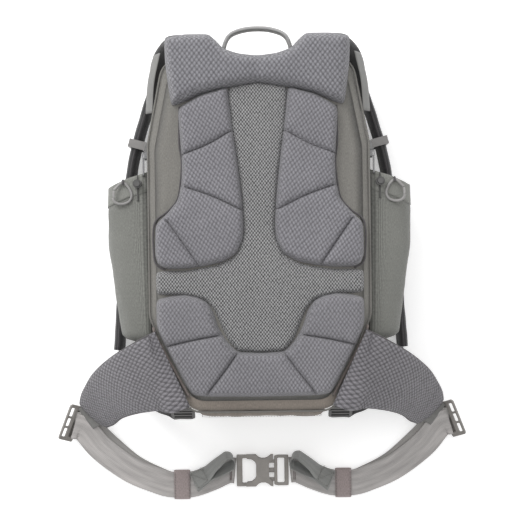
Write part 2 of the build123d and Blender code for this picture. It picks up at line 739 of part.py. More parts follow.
main_slider_y = shoulder_y - 15
main_slider = zip_slider(zip_slider_length, zip_slider_thick, zip_width + 2)
main_place = Pos(bag_half + zip_proud + 0.3, main_slider_y, zip_z + zip_width / 2)
main_slider_right = main_place * main_slider
save("main_zip_slider_right", main_slider_right)
save("main_zip_slider_left", flipped(main_slider_right))
pull_out = zip_slider_thick + 2.0
pull = zip_pull(zip_pull_length, zip_pull_width, zip_pull_thick)
main_pull_right = main_place * Pos(pull_out, -zip_slider_length * 0.32, 0) * pull
save("main_zip_pull_right", main_pull_right)
save("main_zip_pull_left", flipped(main_pull_right))

front_slider_y = (front_y[0] + front_y[1]) / 2
front_place = Pos(front_half + zip_proud + 0.3, front_slider_y, front_zip_z + zip_width / 2)
save("front_zip_slider", front_place * main_slider)
save("front_zip_pull", front_place * Pos(pull_out, -zip_slider_length * 0.32, 0) * pull)
top_place = Location((0, top_y[1] + zip_proud + 0.3, front_zip_z + zip_width / 2), (0, 0, 90))
save("top_zip_slider", top_place * main_slider)
save("top_zip_pull", top_place * Pos(pull_out, -zip_slider_length * 0.32, 0) * pull)

# ---- places that the record states ----
places = {
    "hip hinge left, a point": root_middle,
    "hip hinge line, towards the top": hinge_line,
    "belt pivot left": belt_pivot,
    "sternum slider left, along": run,
    "ring neck left": Vector(ring_centre_x, neck_y + 1, ring_low_z + ring_wire / 2),
    "ring centre left": Vector(ring_centre_x, ring_centre_y, ring_low_z),
    "cord lock left": Vector(lock_x, lock_y, lock_low_z),
    "ladder lock left": lock_centre,
    "handle hinge": Vector(0, handle_seam_y, handle_z),
    "prong root": Vector(prong_root_x, prong_y, buckle_z),
    "buckle middle": Vector(0, buckle_y, buckle_z),
    "main pull pin right": Vector(bag_half + zip_proud + 0.3 + pull_out, main_slider_y - zip_slider_length * 0.32,
                                  zip_z + zip_width / 2),
    "front pull pin": Vector(front_half + zip_proud + 0.3 + pull_out,
                             front_slider_y - zip_slider_length * 0.32, front_zip_z + zip_width / 2),
    "top pull pin": Vector(zip_slider_length * 0.32, top_y[1] + zip_proud + 0.3 + pull_out,
                           front_zip_z + zip_width / 2),
    "tab head left": Vector(tab_head.X, tab_head.Y, tab_low_z),
}
for name, place in places.items():
    print(name, [round(v, 3) for v in place])
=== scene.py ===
import math

import bpy
import bmesh
import numpy as np
from mathutils import Matrix, Vector, geometry, noise


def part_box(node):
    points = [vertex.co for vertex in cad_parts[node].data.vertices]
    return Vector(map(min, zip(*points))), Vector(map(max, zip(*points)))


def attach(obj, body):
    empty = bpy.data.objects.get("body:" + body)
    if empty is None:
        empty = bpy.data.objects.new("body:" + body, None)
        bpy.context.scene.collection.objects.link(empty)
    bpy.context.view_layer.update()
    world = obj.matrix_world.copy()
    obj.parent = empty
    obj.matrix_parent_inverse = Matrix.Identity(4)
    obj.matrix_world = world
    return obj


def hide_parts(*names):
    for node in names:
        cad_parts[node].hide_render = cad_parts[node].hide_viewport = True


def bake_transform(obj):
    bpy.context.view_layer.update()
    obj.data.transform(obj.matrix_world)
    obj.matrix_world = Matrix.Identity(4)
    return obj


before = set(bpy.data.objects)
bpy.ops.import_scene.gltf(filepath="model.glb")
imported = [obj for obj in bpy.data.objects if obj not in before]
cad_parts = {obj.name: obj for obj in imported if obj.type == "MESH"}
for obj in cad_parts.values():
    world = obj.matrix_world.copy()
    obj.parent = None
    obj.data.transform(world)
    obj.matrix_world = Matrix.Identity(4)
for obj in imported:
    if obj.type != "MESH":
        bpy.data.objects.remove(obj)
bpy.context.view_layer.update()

# ---------------------------------------------------------------------------------------------
# Table, lights and camera. The pack lies on its front pockets on a plain white table and is
# looked at from straight above, through a long lens, with soft light from beyond its top end.
# ---------------------------------------------------------------------------------------------
MM = 0.001


def at(x, y, z):
    """A point given in millimetres, in metres."""
    return Vector((x * MM, y * MM, z * MM))


def material(name, roughness):
    """A new material: its node tree, its shader and its links."""
    made = bpy.data.materials.new(name)
    made.use_nodes = True
    tree = made.node_tree
    shader = tree.nodes["Principled BSDF"]
    shader.inputs["Roughness"].default_value = roughness
    return made, tree, shader


def build(name, points, faces, finish, smooth=True):
    """A mesh object from points and faces, with its material and outward normals."""
    mesh = bpy.data.meshes.new(name)
    mesh.from_pydata([tuple(p) for p in points], [], [tuple(int(i) for i in f) for f in faces])
    shape = bmesh.new()
    shape.from_mesh(mesh)
    bmesh.ops.remove_doubles(shape, verts=shape.verts, dist=1e-6)
    bmesh.ops.recalc_face_normals(shape, faces=shape.faces)
    shape.to_mesh(mesh)
    shape.free()
    made = bpy.data.objects.new(name, mesh)
    bpy.context.scene.collection.objects.link(made)
    if finish:
        mesh.materials.append(finish)
    mesh.polygons.foreach_set("use_smooth", [smooth] * len(mesh.polygons))
    return made


table_half = 4.0
table_paint, tree, shader = material("table_paint", 0.6)
shader.inputs["Base Color"].default_value = (0.92, 0.92, 0.92, 1)
shader.inputs["Emission Color"].default_value = (1, 1, 1, 1)
shader.inputs["Emission Strength"].default_value = 0.36
corners = [(-table_half, -table_half, 0), (table_half, -table_half, 0), (table_half, table_half, 0),
           (-table_half, table_half, 0)]
table = build("table", corners, [(0, 1, 2, 3)], table_paint)

scene = bpy.context.scene
scene.view_settings.view_transform = "Standard"
scene.world = bpy.data.worlds.new("studio")
scene.world.use_nodes = True
scene.world.node_tree.nodes["Background"].inputs["Color"].default_value = (1, 1, 1, 1)
scene.world.node_tree.nodes["Background"].inputs["Strength"].default_value = 0.73


def soft_box(name, place, target, size, power):
    """A square area light at a place, turned to a target."""
    lamp = bpy.data.lights.new(name, "AREA")
    lamp.size = size
    lamp.energy = power
    made = bpy.data.objects.new(name, lamp)
    made.location = place
    made.rotation_euler = (Vector(target) - Vector(place)).to_track_quat("-Z", "Y").to_euler()
    scene.collection.objects.link(made)


soft_box("key_light", (-1.15, 1.6, 1.85), (0, 0, 0.1), 1.3, 40)
soft_box("top_light", (0.2, 0.5, 2.9), (0, -0.1, 0), 1.8, 19)

lens_height = 2.3
field = 36 / 107.2       # sensor width over focal length
camera = bpy.data.cameras.new("camera")
camera.lens = 36 / field
camera.sensor_width = 36
viewer = bpy.data.objects.new("camera", camera)
viewer.location = at(3.7, -48, lens_height / MM)
viewer.rotation_euler = (0, 0, math.radians(-0.73))
scene.collection.objects.link(viewer)
scene.camera = viewer

# ---------------------------------------------------------------------------------------------
# Main bag: coated nylon pack cloth sewn from a back, a front and one long side gusset, with
# piping let in to both seams. It stands by its stuffing, so its sides swell a little.
# ---------------------------------------------------------------------------------------------
bag_low, bag_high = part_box("main_bag")


def mapped(tree, scale, turn=0.0, source="UV"):
    """Texture coordinates of the cloth, in cells: the scale is cells per metre along and across."""
    coordinates = tree.nodes.new("ShaderNodeTexCoord")
    mapping = tree.nodes.new("ShaderNodeMapping")
    mapping.inputs["Scale"].default_value = (scale[0], scale[1], scale[-1])
    mapping.inputs["Rotation"].default_value = (0, 0, turn)
    tree.links.new(coordinates.outputs[source], mapping.inputs["Vector"])
    return mapping.outputs["Vector"]


def texture(tree, kind, vector, output, **inputs):
    """An output of a texture node of a kind, fed with a vector, with its inputs set."""
    node = tree.nodes.new("ShaderNodeTex" + kind)
    tree.links.new(vector, node.inputs["Vector"])
    for key, value in inputs.items():
        node.inputs[key].default_value = value
    return node.outputs[output]


def ribs(tree, pitch, turn=0.0, distortion=1.2, detail=1.0):
    """Even ribs, a pitch apart."""
    return texture(tree, "Wave", mapped(tree, (1 / pitch, 1 / pitch), turn), "Color", Scale=0.32,
                   Distortion=distortion, Detail=detail)


def clouds(tree, scale, detail, source="UV"):
    """Uneven patches, of a number per metre each way."""
    return texture(tree, "Noise", mapped(tree, scale, source=source), "Fac", Scale=1.0, Detail=detail)


def ramp(tree, source, stops):
    """A colour ramp over a value: the stops are (position, grey or colour)."""
    node = tree.nodes.new("ShaderNodeValToRGB")
    node.color_ramp.elements[0].position = stops[0][0]
    node.color_ramp.elements[1].position = stops[-1][0]
    for position, _ in stops[1:-1]:
        node.color_ramp.elements.new(position)
    for element, (_, colour) in zip(node.color_ramp.elements, stops):
        element.color = tuple(colour) + (1,) if isinstance(colour, tuple) else (colour,) * 3 + (1,)
    tree.links.new(source, node.inputs["Fac"])
    return node.outputs["Color"]


def multiplied(tree, first, second, share=1.0):
    """Two colours multiplied."""
    node = tree.nodes.new("ShaderNodeMix")
    node.data_type = "RGBA"
    node.blend_type = "MULTIPLY"
    node.inputs["Factor"].default_value = share
    for socket, value in ((node.inputs[6], first), (node.inputs[7], second)):
        if isinstance(value, tuple):
            socket.default_value = value + (1,)
        else:
            tree.links.new(value, socket)
    return node.outputs[2]


def shaded(tree, shader, colour, *layers):
    """The shader's colour, darkened and lightened by layers: each is a value and its stops."""
    for source, stops in layers:
        colour = multiplied(tree, colour, ramp(tree, source, stops))
    tree.links.new(colour, shader.inputs["Base Color"])


def bumped(tree, shader, height, distance):
    """Relief of a height in metres on the shader, over any relief it has already."""
    node = tree.nodes.new("ShaderNodeBump")
    node.inputs["Strength"].default_value = 1.0
    node.inputs["Distance"].default_value = distance
    tree.links.new(height, node.inputs["Height"])
    if shader.inputs["Normal"].links:
        tree.links.new(shader.inputs["Normal"].links[0].from_socket, node.inputs["Normal"])
    tree.links.new(node.outputs["Normal"], shader.inputs["Normal"])


def woven(name, colour, thread, roughness=0.85, blotch=0.12):
    """Plain woven cloth: threads that cross, a fine slub, and slow changes of shade."""
    made, tree, shader = material(name, roughness)
    shader.inputs["Specular IOR Level"].default_value = 0.25
    shader.inputs["Sheen Weight"].default_value = 0.15
    weave = multiplied(tree, ribs(tree, thread), ribs(tree, thread, math.pi / 2), 0.8)
    shaded(tree, shader, colour, (clouds(tree, (14, 9), 3.0), [(0.3, 1 - blotch), (0.7, 1.0)]),
           (clouds(tree, (900, 300), 4.0), [(0.3, 0.78), (0.7, 1.12)]), (weave, [(0.0, 0.65), (0.6, 1.1)]))
    bumped(tree, shader, weave, 0.00025)
    return made


pack_cloth = woven("pack_cloth", (0.236, 0.228, 0.210), 0.0016)


def travelled(line):
    """How far along a line each of its points lies."""
    return np.concatenate([[0], np.cumsum(np.linalg.norm(np.diff(line, axis=0), axis=1))])


def evenly(line, count):
    """A number of points spaced evenly along a line, both ends included."""
    lengths = travelled(line)
    wanted = np.linspace(0, lengths[-1], count)
    return np.stack([np.interp(wanted, lengths, line[:, k]) for k in range(line.shape[1])], axis=1)


def path_through(points, step):
    """Points evenly spaced on a smooth curve through the given points."""
    knots = [Vector(p) for p in points]
    count = len(knots)
    dense = []
    for i in range(count - 1):
        p1, p2 = knots[i], knots[i + 1]
        p0 = knots[i - 1] if i else p1 * 2 - p2
        p3 = knots[i + 2] if i + 2 < count else p2 * 2 - p1
        for k in range(12):
            t = k / 12
            dense.append(0.5 * (2 * p1 + (p2 - p0) * t + (2 * p0 - 5 * p1 + 4 * p2 - p3) * t * t
                                + (3 * p1 - p0 - 3 * p2 + p3) * t ** 3))
    dense.append(knots[-1])
    line = np.array([tuple(p) for p in dense])
    return evenly(line, max(3, int(round(travelled(line)[-1] / step))) + 1)


def rounded(corners, radius, step):
    """A closed outline with its corners rounded, in even steps."""
    points = []
    count = len(corners)
    for i in range(count):
        here = Vector(corners[i])
        before = (Vector(corners[i - 1]) - here).normalized()
        after = (Vector(corners[(i + 1) % count]) - here).normalized()
        half = before.angle(after) / 2
        reach = radius / math.tan(half)
        start = here + before * reach
        end = here + after * reach
        for k in range(9):
            t = k / 8
            points.append((1 - t) ** 2 * start + 2 * t * (1 - t) * here + t * t * end)
    line = np.array([tuple(p) for p in points + [points[0]]])
    return evenly(line, int(travelled(line)[-1] / step) + 1)[:-1]


def set_cloth_map(piece):
    """Lays a cloth map on a piece, in metres, from whichever side each face looks to."""
    mesh = piece.data
    layer = mesh.uv_layers.new(name="cloth")
    count = len(mesh.loops)
    corner = np.zeros(count, int)
    mesh.loops.foreach_get("vertex_index", corner)
    points = np.zeros(len(mesh.vertices) * 3)
    mesh.vertices.foreach_get("co", points)
    points = points.reshape(-1, 3)
    values = np.zeros((count, 2))
    for polygon in mesh.polygons:
        lean = [abs(c) for c in polygon.normal]
        keep = (0, 1) if lean[2] >= max(lean[0], lean[1]) else ((1, 2) if lean[0] > lean[1] else (0, 2))
        span = slice(polygon.loop_start, polygon.loop_start + polygon.loop_total)
        values[span] = points[corner[span]][:, keep]
    layer.data.foreach_set("uv", values.ravel())


def joined(rings, sides, closed=False, first=0):
    """Faces that join rings of points in a row. An open row's two ends are closed."""
    faces = []
    for i in range(rings if closed else rings - 1):
        here, there = first + i * sides, first + (i + 1) % rings * sides
        for k in range(sides):
            n = (k + 1) % sides
            faces.append((here + k, here + n, there + n, there + k))
    if not closed:
        ends = (first, first + (rings - 1) * sides)
        faces += [tuple(range(start, start + sides)) for start in ends]
    return faces


def stuffed_shell(name, outline, z_low, z_high, edge, swell, finish, wrinkle, seed):
    """A bag stuffed to shape: rings of an outline, drawn in at both faces and swollen between."""
    middle = outline.mean(axis=0)
    rings = []
    height = z_high - z_low
    for share in (0.02, 0.25, 0.5, 0.7, 0.85, 0.94):
        rings.append((share, z_low))
    for k in range(1, 10):
        angle = math.pi / 2 * k / 9
        rings.append((1 - edge * (1 - math.sin(angle)), z_low + edge * 0.16 * (1 - math.cos(angle))))
    stages = 14
    for k in range(1, stages):
        rings.append((1.0, z_low + 0.16 * edge + (height - 0.32 * edge) * k / stages))
    top = [(share, z_high - (z - z_low)) for share, z in reversed(rings[:15])]
    rings += top
    points = []
    count = len(outline)
    for share, z in rings:
        t = (z - z_low) / height
        for x, y in outline:
            push = swell * 4 * t * (1 - t) if share >= 0.98 else 0
            out = np.array([x, y]) - middle
            size = np.linalg.norm(out)
            place = middle + out * (share + push / size)
            drift = noise.noise(Vector((place[0] * 16, place[1] * 9, z * 20 + seed)))
            fine = noise.noise(Vector((place[0] * 50, place[1] * 30, z * 60 + seed)))
            lift = wrinkle * (drift + 0.45 * fine)
            if share >= 0.98:
                place = place + out / size * lift
                points.append((place[0], place[1], z))
            else:
                bow = 0.003 * (1 - share ** 2) * (1 if z > (z_low + z_high) / 2 else -0.3)
                points.append((place[0], place[1], z + bow + (lift * 0.6 if z > z_low + 0.01 else 0)))
    made = build(name, points, joined(len(rings), count), finish)
    set_cloth_map(made)
    return made


def tube(name, line, radius, finish, closed=False, sides=8):
    """A round cord or piping along a line of points."""
    line = [Vector(p) for p in line]
    count = len(line)
    points = []
    up = Vector((0.13, 0.21, 0.97))
    for i, p in enumerate(line):
        if closed:
            ahead = line[(i + 1) % count] - line[i - 1]
        else:
            ahead = line[min(i + 1, count - 1)] - line[max(i - 1, 0)]
        ahead.normalize()
        side = ahead.cross(up).normalized()
        top = side.cross(ahead)
        up = top
        for k in range(sides):
            a = 2 * math.pi * k / sides
            points.append(p + side * math.cos(a) * radius + top * math.sin(a) * radius)
    made = build(name, points, joined(count, sides, closed), finish)
    set_cloth_map(made)
    return made


def shown(piece, slot, body, *nodes):
    """Gives a finished piece its body and hides the CAD nodes that it stands for. The slot is not used."""
    if nodes:
        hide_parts(*nodes)
    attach(piece, body)
    return piece


bag_half = bag_high.x
base_y, top_y = bag_low.y, bag_high.y
top_half, base_half = 0.128, 0.100
shoulder_y, waist_y = 0.115, -0.120
bag_corners = [(base_half, base_y), (bag_half, waist_y), (bag_half, shoulder_y), (top_half, top_y)]
bag_corners += [(-x, y) for x, y in reversed(bag_corners)]
bag_outline = rounded(bag_corners, 0.030, 0.006)
main_bag = stuffed_shell("main_bag_cloth", bag_outline, bag_low.z, bag_high.z, 0.08, 0.001, pack_cloth,
                         0.0013, 3)
for point in main_bag.data.vertices:
    high, near = point.co.z / 0.078, (point.co.y - 0.115) / 0.075
    if abs(point.co.x) > 0.11 and high < 1 and abs(near) < 1:
        bulge = 0.0155 * math.sin(math.pi * min(high + 0.1, 1)) * math.cos(math.pi / 2 * near)
        point.co.x += math.copysign(bulge, point.co.x)
shown(main_bag, "pack_cloth", "pack", "main_bag")

piping_cloth = woven("piping_cloth", (0.215, 0.208, 0.192), 0.0013)
for name, z in (("back_piping", bag_high.z - 0.006), ("front_piping", bag_low.z + 0.012)):
    ring = [(x * 1.004, y * 1.004, z) for x, y in bag_outline]
    shown(tube(name, ring, 0.0014, piping_cloth, closed=True), "pack_cloth", "pack")


def carried(node, finish):
    """A CAD node shown as it is, in its own material."""
    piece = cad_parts[node]
    piece.data.materials.clear()
    piece.data.materials.append(finish)
    for face in piece.data.polygons:
        face.material_index = 0


# ---------------------------------------------------------------------------------------------
# Frame sheet and stay: a flexible plastic sheet with an aluminium stay behind it, pushed into a
# sleeve inside the bag's back, where they hold the pack's shape.
# ---------------------------------------------------------------------------------------------
def moulded(name, colour, roughness):
    """Moulded or cast material: fine grain, cloudy shade, a lighter tone on convex edges that is partly
    painted highlight and partly wear, and a slightly darker tone in hollows that is painted shade.
    """
    made, tree, shader = material(name, roughness)
    # Pointiness: convex edges lighter, partly painted highlight and partly wear; hollows a little darker,
    # painted shade.
    edge = tree.nodes.new("ShaderNodeNewGeometry")
    shaded(tree, shader, colour, (clouds(tree, (60, 60), 4.0, "Object"), [(0.3, 0.86), (0.7, 1.1)]),
           (edge.outputs["Pointiness"], [(0.49, 0.94), (0.56, 1.25)]))
    bumped(tree, shader, clouds(tree, (2600, 2600), 3.0, "Object"), 0.00006)
    return made


carried("frame_sheet", moulded("sheet_plastic", (0.045, 0.045, 0.046), 0.55))
stay_metal = moulded("stay_alloy", (0.55, 0.55, 0.57), 0.35)
stay_metal.node_tree.nodes["Principled BSDF"].inputs["Metallic"].default_value = 1.0
carried("frame_stay", stay_metal)

# ---------------------------------------------------------------------------------------------
# Front pockets: two flat zipped pockets of the same cloth on the bag's front, which the pack
# lies on, each with piping round its face.
# ---------------------------------------------------------------------------------------------
for node, radius, seed in (("front_pocket", 0.022, 11), ("top_pocket", 0.022, 17)):
    low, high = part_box(node)
    corners = [(high.x, low.y), (high.x, high.y), (low.x, high.y), (low.x, low.y)]
    outline = rounded(corners, radius, 0.006)
    piece = stuffed_shell(node + "_cloth", outline, 0.0014, high.z, 0.10, 0.0012, pack_cloth, 0.0010, seed)
    shown(piece, "pack_cloth", "pack", node)
    middle = outline.mean(axis=0)
    ring = [tuple(middle + (np.array(p) - middle) * 0.995) + (0.0085,) for p in outline]
    shown(tube(node + "_piping", ring, 0.0018, piping_cloth, closed=True), "pack_cloth", "pack")


# ---------------------------------------------------------------------------------------------
# Base: a doubled panel of tan pack cloth sewn over the bag's bottom, a little baggy, with a row
# of stitches just inside its edge.
# ---------------------------------------------------------------------------------------------
def to_line(points, corners, closed=False):
    """How far each point lies from a line of corners."""
    ends = list(corners) + ([corners[0]] if closed else [])
    best = np.full(len(points), 1e9)
    for a, b in zip(ends[:-1], ends[1:]):
        a, run = np.array(a[:2], float), np.array(b[:2], float) - np.array(a[:2], float)
        t = np.clip(((points - a) @ run) / (run @ run), 0, 1)
        best = np.minimum(best, np.linalg.norm(points - (a + t[:, None] * run), axis=1))
    return best


def inside(points, outline):
    """Which points lie inside a closed outline."""
    hit = np.zeros(len(points), bool)
    x, y = points[:, 0], points[:, 1]
    for (x0, y0), (x1, y1) in zip(outline, np.roll(outline, -1, axis=0)):
        if y0 != y1:
            hit ^= ((y0 > y) != (y1 > y)) & (x < (x1 - x0) * (y - y0) / (y1 - y0) + x0)
    return hit


def puff(distance, radius):
    """Height, 0 to 1, of a round shoulder that starts at a seam and is level past the radius."""
    near = np.clip(distance / radius, 0, 1)
    return np.sqrt(1 - (1 - near) ** 2)


def cushion(name, outline, z_low, height, finish, channels=(), edge=0.012, pitch=0.0034, pillow=0.024,
            groove=0.0015, depth=0.42, wave=0.0007, seed=1, place=None):
    """A padded panel: a crowned top with round shoulders and sewn channels, on a flat underside."""
    low, high = outline.min(axis=0), outline.max(axis=0)
    grid = []
    for row, y in enumerate(np.arange(low[1], high[1], pitch * 0.87)):
        for x in np.arange(low[0], high[0], pitch):
            grid.append((x + (row % 2) * pitch / 2, y))
    grid = np.array(grid)
    grid = grid[inside(grid, outline)]
    for channel in channels:
        grid = grid[to_line(grid, channel) > 0.0032]
    for channel in channels:
        line = np.array(channel)
        ahead = np.gradient(line, axis=0)
        aside = np.stack([-ahead[:, 1], ahead[:, 0]], axis=1) / np.linalg.norm(ahead, axis=1)[:, None]
        for gap in (-0.0021, 0, 0.0021):
            row = line + aside * gap
            grid = np.vstack([grid, row[inside(row, outline)]])
    grid = grid[to_line(grid, outline, True) > pitch * 0.8]
    plan = [Vector(p) for p in outline] + [Vector(p) for p in grid]
    count = len(outline)
    rim = [(i, (i + 1) % count) for i in range(count)]
    flat, _, faces, *_ = geometry.delaunay_2d_cdt(plan, rim, [], 1, 1e-7)
    spots = np.array([tuple(p) for p in flat])
    side = to_line(spots, outline, True)
    seam = side.copy()
    cut = np.full(len(spots), 1e9)
    for channel in channels:
        cut = np.minimum(cut, to_line(spots, channel))
    seam = np.minimum(side, cut)
    top = puff(side,
               edge) * (0.70 + 0.30 * puff(seam, pillow)) * (1 - depth * np.exp(-((cut / groove) ** 2)))
    points = []
    for (x, y), share, near in zip(spots, top, side):
        ripple = wave * noise.noise(Vector((x * 45, y * 45, seed))) * min(near / 0.01, 1)
        points.append((x, y, z_low + height * (0.10 + 0.90 * share) + ripple))
    total = len(points)
    points += [(x, y, z_low) for x, y in spots]
    faces = [tuple(f) for f in faces]
    used = {}
    for f in faces:
        for a, b in zip(f, f[1:] + f[:1]):
            used[(a, b)] = used.get((a, b), 0) + 1
    skirt = [(a, b, b + total, a + total) for a, b in used if (b, a) not in used]
    faces += [tuple(i + total for i in reversed(f)) for f in faces] + skirt
    made = build(name, points, faces, finish)
    set_cloth_map(made)
    if place is not None:
        made.data.transform(place)
    return made


def stitches(name, lines, finish, length=0.0026, gap=0.0013, radius=0.00034):
    """Rows of short raised stitches along lines of points in space."""
    points, faces = [], []
    for line in lines:
        row = path_through(line, length + gap)
        for a, b in zip(row[:-1], row[1:]):
            a, b = Vector(a), Vector(b)
            run = b - a
            if run.length < 1e-6:
                continue
            end = a + run * (length / (length + gap))
            ahead = run.normalized()
            level = ahead.cross(Vector((0.1, 0.2, 1))).normalized()
            high = level.cross(ahead)
            first = len(points)
            for spot, size in ((a, 0.5), (a.lerp(end, 0.3), 1.0), (a.lerp(end, 0.7), 1.0), (end, 0.5)):
                for turn in range(4):
                    angle = math.pi / 2 * turn + math.pi / 4
                    spoke = level * math.cos(angle) + high * math.sin(angle)
                    points.append(spot + spoke * radius * size * 1.4)
            faces += joined(4, 4, first=first)
    made = build(name, points, faces, finish)
    set_cloth_map(made)
    return made


base_cloth = woven("base_cloth", (0.300, 0.262, 0.226), 0.0016)
main_bag.data.materials.append(base_cloth)
wrap_y = -0.2285         # the doubled cloth wraps this far up the bag's back and sides
for face in main_bag.data.polygons:
    face.material_index = 1 if face.center.y < wrap_y else 0
thread = woven("thread", (0.26, 0.25, 0.24), 0.0006, roughness=0.7)
low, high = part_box("base_panel")
panel_corners = [(high.x, low.z), (high.x, high.z), (low.x, high.z), (low.x, low.z)]
panel_outline = rounded(panel_corners, 0.012, 0.004)
upright = Matrix(((1, 0, 0, 0), (0, 0, -1, 0), (0, 1, 0, 0), (0, 0, 0, 1)))
base = cushion("base_panel_cloth", panel_outline, -high.y, 0.0095, base_cloth, edge=0.02, pillow=0.05,
               pitch=0.005,
               wave=0.002, seed=5, place=upright)
shown(base, "base_cloth", "pack", "base_panel")
row = [(x * 0.94, low.y - 0.0030, 0.122 + (z - 0.122) * 0.90) for x, z in panel_outline]
shown(stitches("base_stitching", [row], thread), "base_cloth", "pack")

# ---------------------------------------------------------------------------------------------
# Back panel: foam pads under a knitted face, sewn down along their edges and along the quilting
# channels, in two upper pads, a lumbar pad and a deep yoke with two lobes over the shoulders.
# ---------------------------------------------------------------------------------------------
def knitted(name, colour, cell, turn, relief, contrast, blotch=0.10):
    """A knitted face: a staggered lattice of raised oval bumps between sunk yarns."""
    made, tree, shader = material(name, 0.88)
    shader.inputs["Specular IOR Level"].default_value = 0.2
    shader.inputs["Sheen Weight"].default_value = 0.25
    lattice = texture(tree, "Voronoi", mapped(tree, (1 / cell[0], 1 / cell[1]), turn), "Distance",
                      Scale=1.0,
                      Randomness=0.12)
    dimple = ramp(tree, lattice, [(0.10, 1.0), (0.36, 0.55), (0.60, 0.0)])
    yarn = ribs(tree, 0.0011, turn + 0.6, 2.5)
    shaded(tree, shader, colour, (dimple, [(0.0, 1 - contrast), (0.8, 1.08)]),
           (yarn, [(0.0, 0.90), (1.0, 1.07)]),
           (clouds(tree, (420, 420), 4.0), [(0.3, 0.80), (0.7, 1.12)]),
           (clouds(tree, (16, 12), 3.0), [(0.3, 1 - blotch), (0.7, 1.04)]))
    bumped(tree, shader, yarn, relief * 0.25)
    bumped(tree, shader, dimple, relief)
    return made


def outlined(points, mirror=False):
    """A closed outline in metres, eased through corners given in millimetres on the left side."""
    flat = [(x * MM, y * MM) for x, y in points]
    if mirror:
        flat = [(-x, y) for x, y in reversed(flat)]
    dense = []
    count = len(flat)
    for i in range(count):
        a, b = np.array(flat[i]), np.array(flat[(i + 1) % count])
        for t in np.linspace(0, 1, 9)[:-1]:
            dense.append(a + (b - a) * t)
    dense = np.array(dense)
    for _ in range(3):
        dense = (np.roll(dense, 1, axis=0) + 2 * dense + np.roll(dense, -1, axis=0)) / 4
    ends = np.vstack([dense, dense[:1]])
    return evenly(ends, int(travelled(ends)[-1] / 0.0034) + 1)[:-1]


def flat_line(points, mirror=False):
    """A line in the back panel's plane, in metres, from millimetres on the left side."""
    return [(-x * MM if mirror else x * MM, y * MM) for x, y in points]


def quilting_shade(name, channels, outline, z_low, height, edge, depth=0.42):
    """Dark stitches in a cushion's sewn channels: painted shade for the dark line of each sewn groove."""
    rows = []
    for channel in channels:
        line = np.array(channel)
        line = line[inside(line, outline)]
        rise = 0.10 + 0.63 * puff(to_line(line, outline, True), edge) * (1 - depth)
        rows.append([(x, y, z_low + height * share + 0.0004) for (x, y), share in zip(line, rise)])
    shown(stitches(name, rows, piping_and_groove_shade_cloth, 0.0030, 0.0009, 0.00048), "edge_tape", "pack")


# Dark cloth for the real piping, bindings and hook tab, and painted shade in the quilting's sewn grooves.
piping_and_groove_shade_cloth = woven("seam_piping_and_groove_shade", (0.115, 0.108, 0.112), 0.0009, roughness=0.75)
panel_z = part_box("air_mesh")[0].z
pad_points = [
    (-109, 163), (-78, 181), (-41, 191), (-40, 186), (-34, 138), (-28, 90), (-23, 43), (-20, 3), (-22, -18),
    (-32, -37), (-51, -47), (-74, -52), (-101, -55), (-128, -55), (-138, -49), (-142, -36), (-141, 5),
    (-124, 21),
    (-110, 38), (-105, 62), (-104, 90), (-106, 117),
]
pad_channels = [
    [(-104, 99), (-68, 113), (-33, 133)], [(-101, 56), (-62, 42), (-21, 22)],
    [(-125, 10), (-104, -20), (-82, -52)],
]
for side in ("left", "right"):
    knit = knitted("pad_knit_" + side, (0.250, 0.244, 0.264), (0.0040, 0.0056),
                   0.60 if side == "left" else -0.60,
                   0.0009, 0.46)
    flip = side == "right"
    lines = [flat_line(path_through([at(x, y, 0) / MM for x, y in line], 3)[:, :2],
                       flip) for line in pad_channels]
    outline = outlined(pad_points, mirror=flip)
    pad = cushion("upper_pad_" + side, outline, panel_z, 0.0195, knit, lines, edge=0.008, seed=20 + flip)
    quilting_shade("pad_quilting_" + side, lines, outline, panel_z, 0.0195, 0.008)
    shown(pad, "pad_knit", "pack", "upper_pad_" + side)

lumbar_knit = knitted("lumbar_knit", (0.244, 0.238, 0.256), (0.0038, 0.0054), 0.785, 0.0009, 0.44)
lumbar_left = [
    (0, -170), (-32, -169), (-47, -153), (-57, -136), (-64, -113), (-73, -100), (-86, -93), (-101, -90),
    (-122, -92), (-141, -97), (-141, -137), (-96, -226), (-76, -229), (0, -230),
]
lumbar_points = lumbar_left + [(-x, y) for x, y in reversed(lumbar_left[1:-1])]
lumbar_channels = []
for line in ([(-127, -160), (-92, -152), (-57, -146)], [(-33, -172), (-52, -198), (-72, -223)]):
    smooth = path_through([(x, y, 0) for x, y in line], 3)[:, :2]
    lumbar_channels += [flat_line(smooth), flat_line(smooth, True)]
lumbar = cushion("lumbar_cushion", outlined(lumbar_points), panel_z, 0.0215, lumbar_knit, lumbar_channels,
                 edge=0.009, seed=31)
quilting_shade("lumbar_quilting", lumbar_channels, outlined(lumbar_points), panel_z, 0.0215, 0.009)
shown(lumbar, "pad_knit", "pack", "lumbar_pad")

yoke_left = [
    (0, 233), (-26, 236), (-46, 243), (-56, 254), (-66, 263), (-100, 263), (-124, 259), (-126, 250),
    (-125, 223),
    (-121, 190), (-117, 165), (-97, 172), (-78, 181), (-40, 190), (0, 196),
]
yoke_points = yoke_left + [(-x, y) for x, y in reversed(yoke_left[1:-1])]
yoke = cushion("yoke_cushion", outlined(yoke_points), panel_z, 0.0275, knitted(
    "yoke_knit", (0.252, 0.248, 0.268), (0.0046, 0.0060), 0.785, 0.0011, 0.50),
    [flat_line([(0, 240), (0, 190)])],
    edge=0.014, pillow=0.04, depth=0.12, groove=0.0018, seed=41)
shown(yoke, "pad_knit", "pack", "yoke")

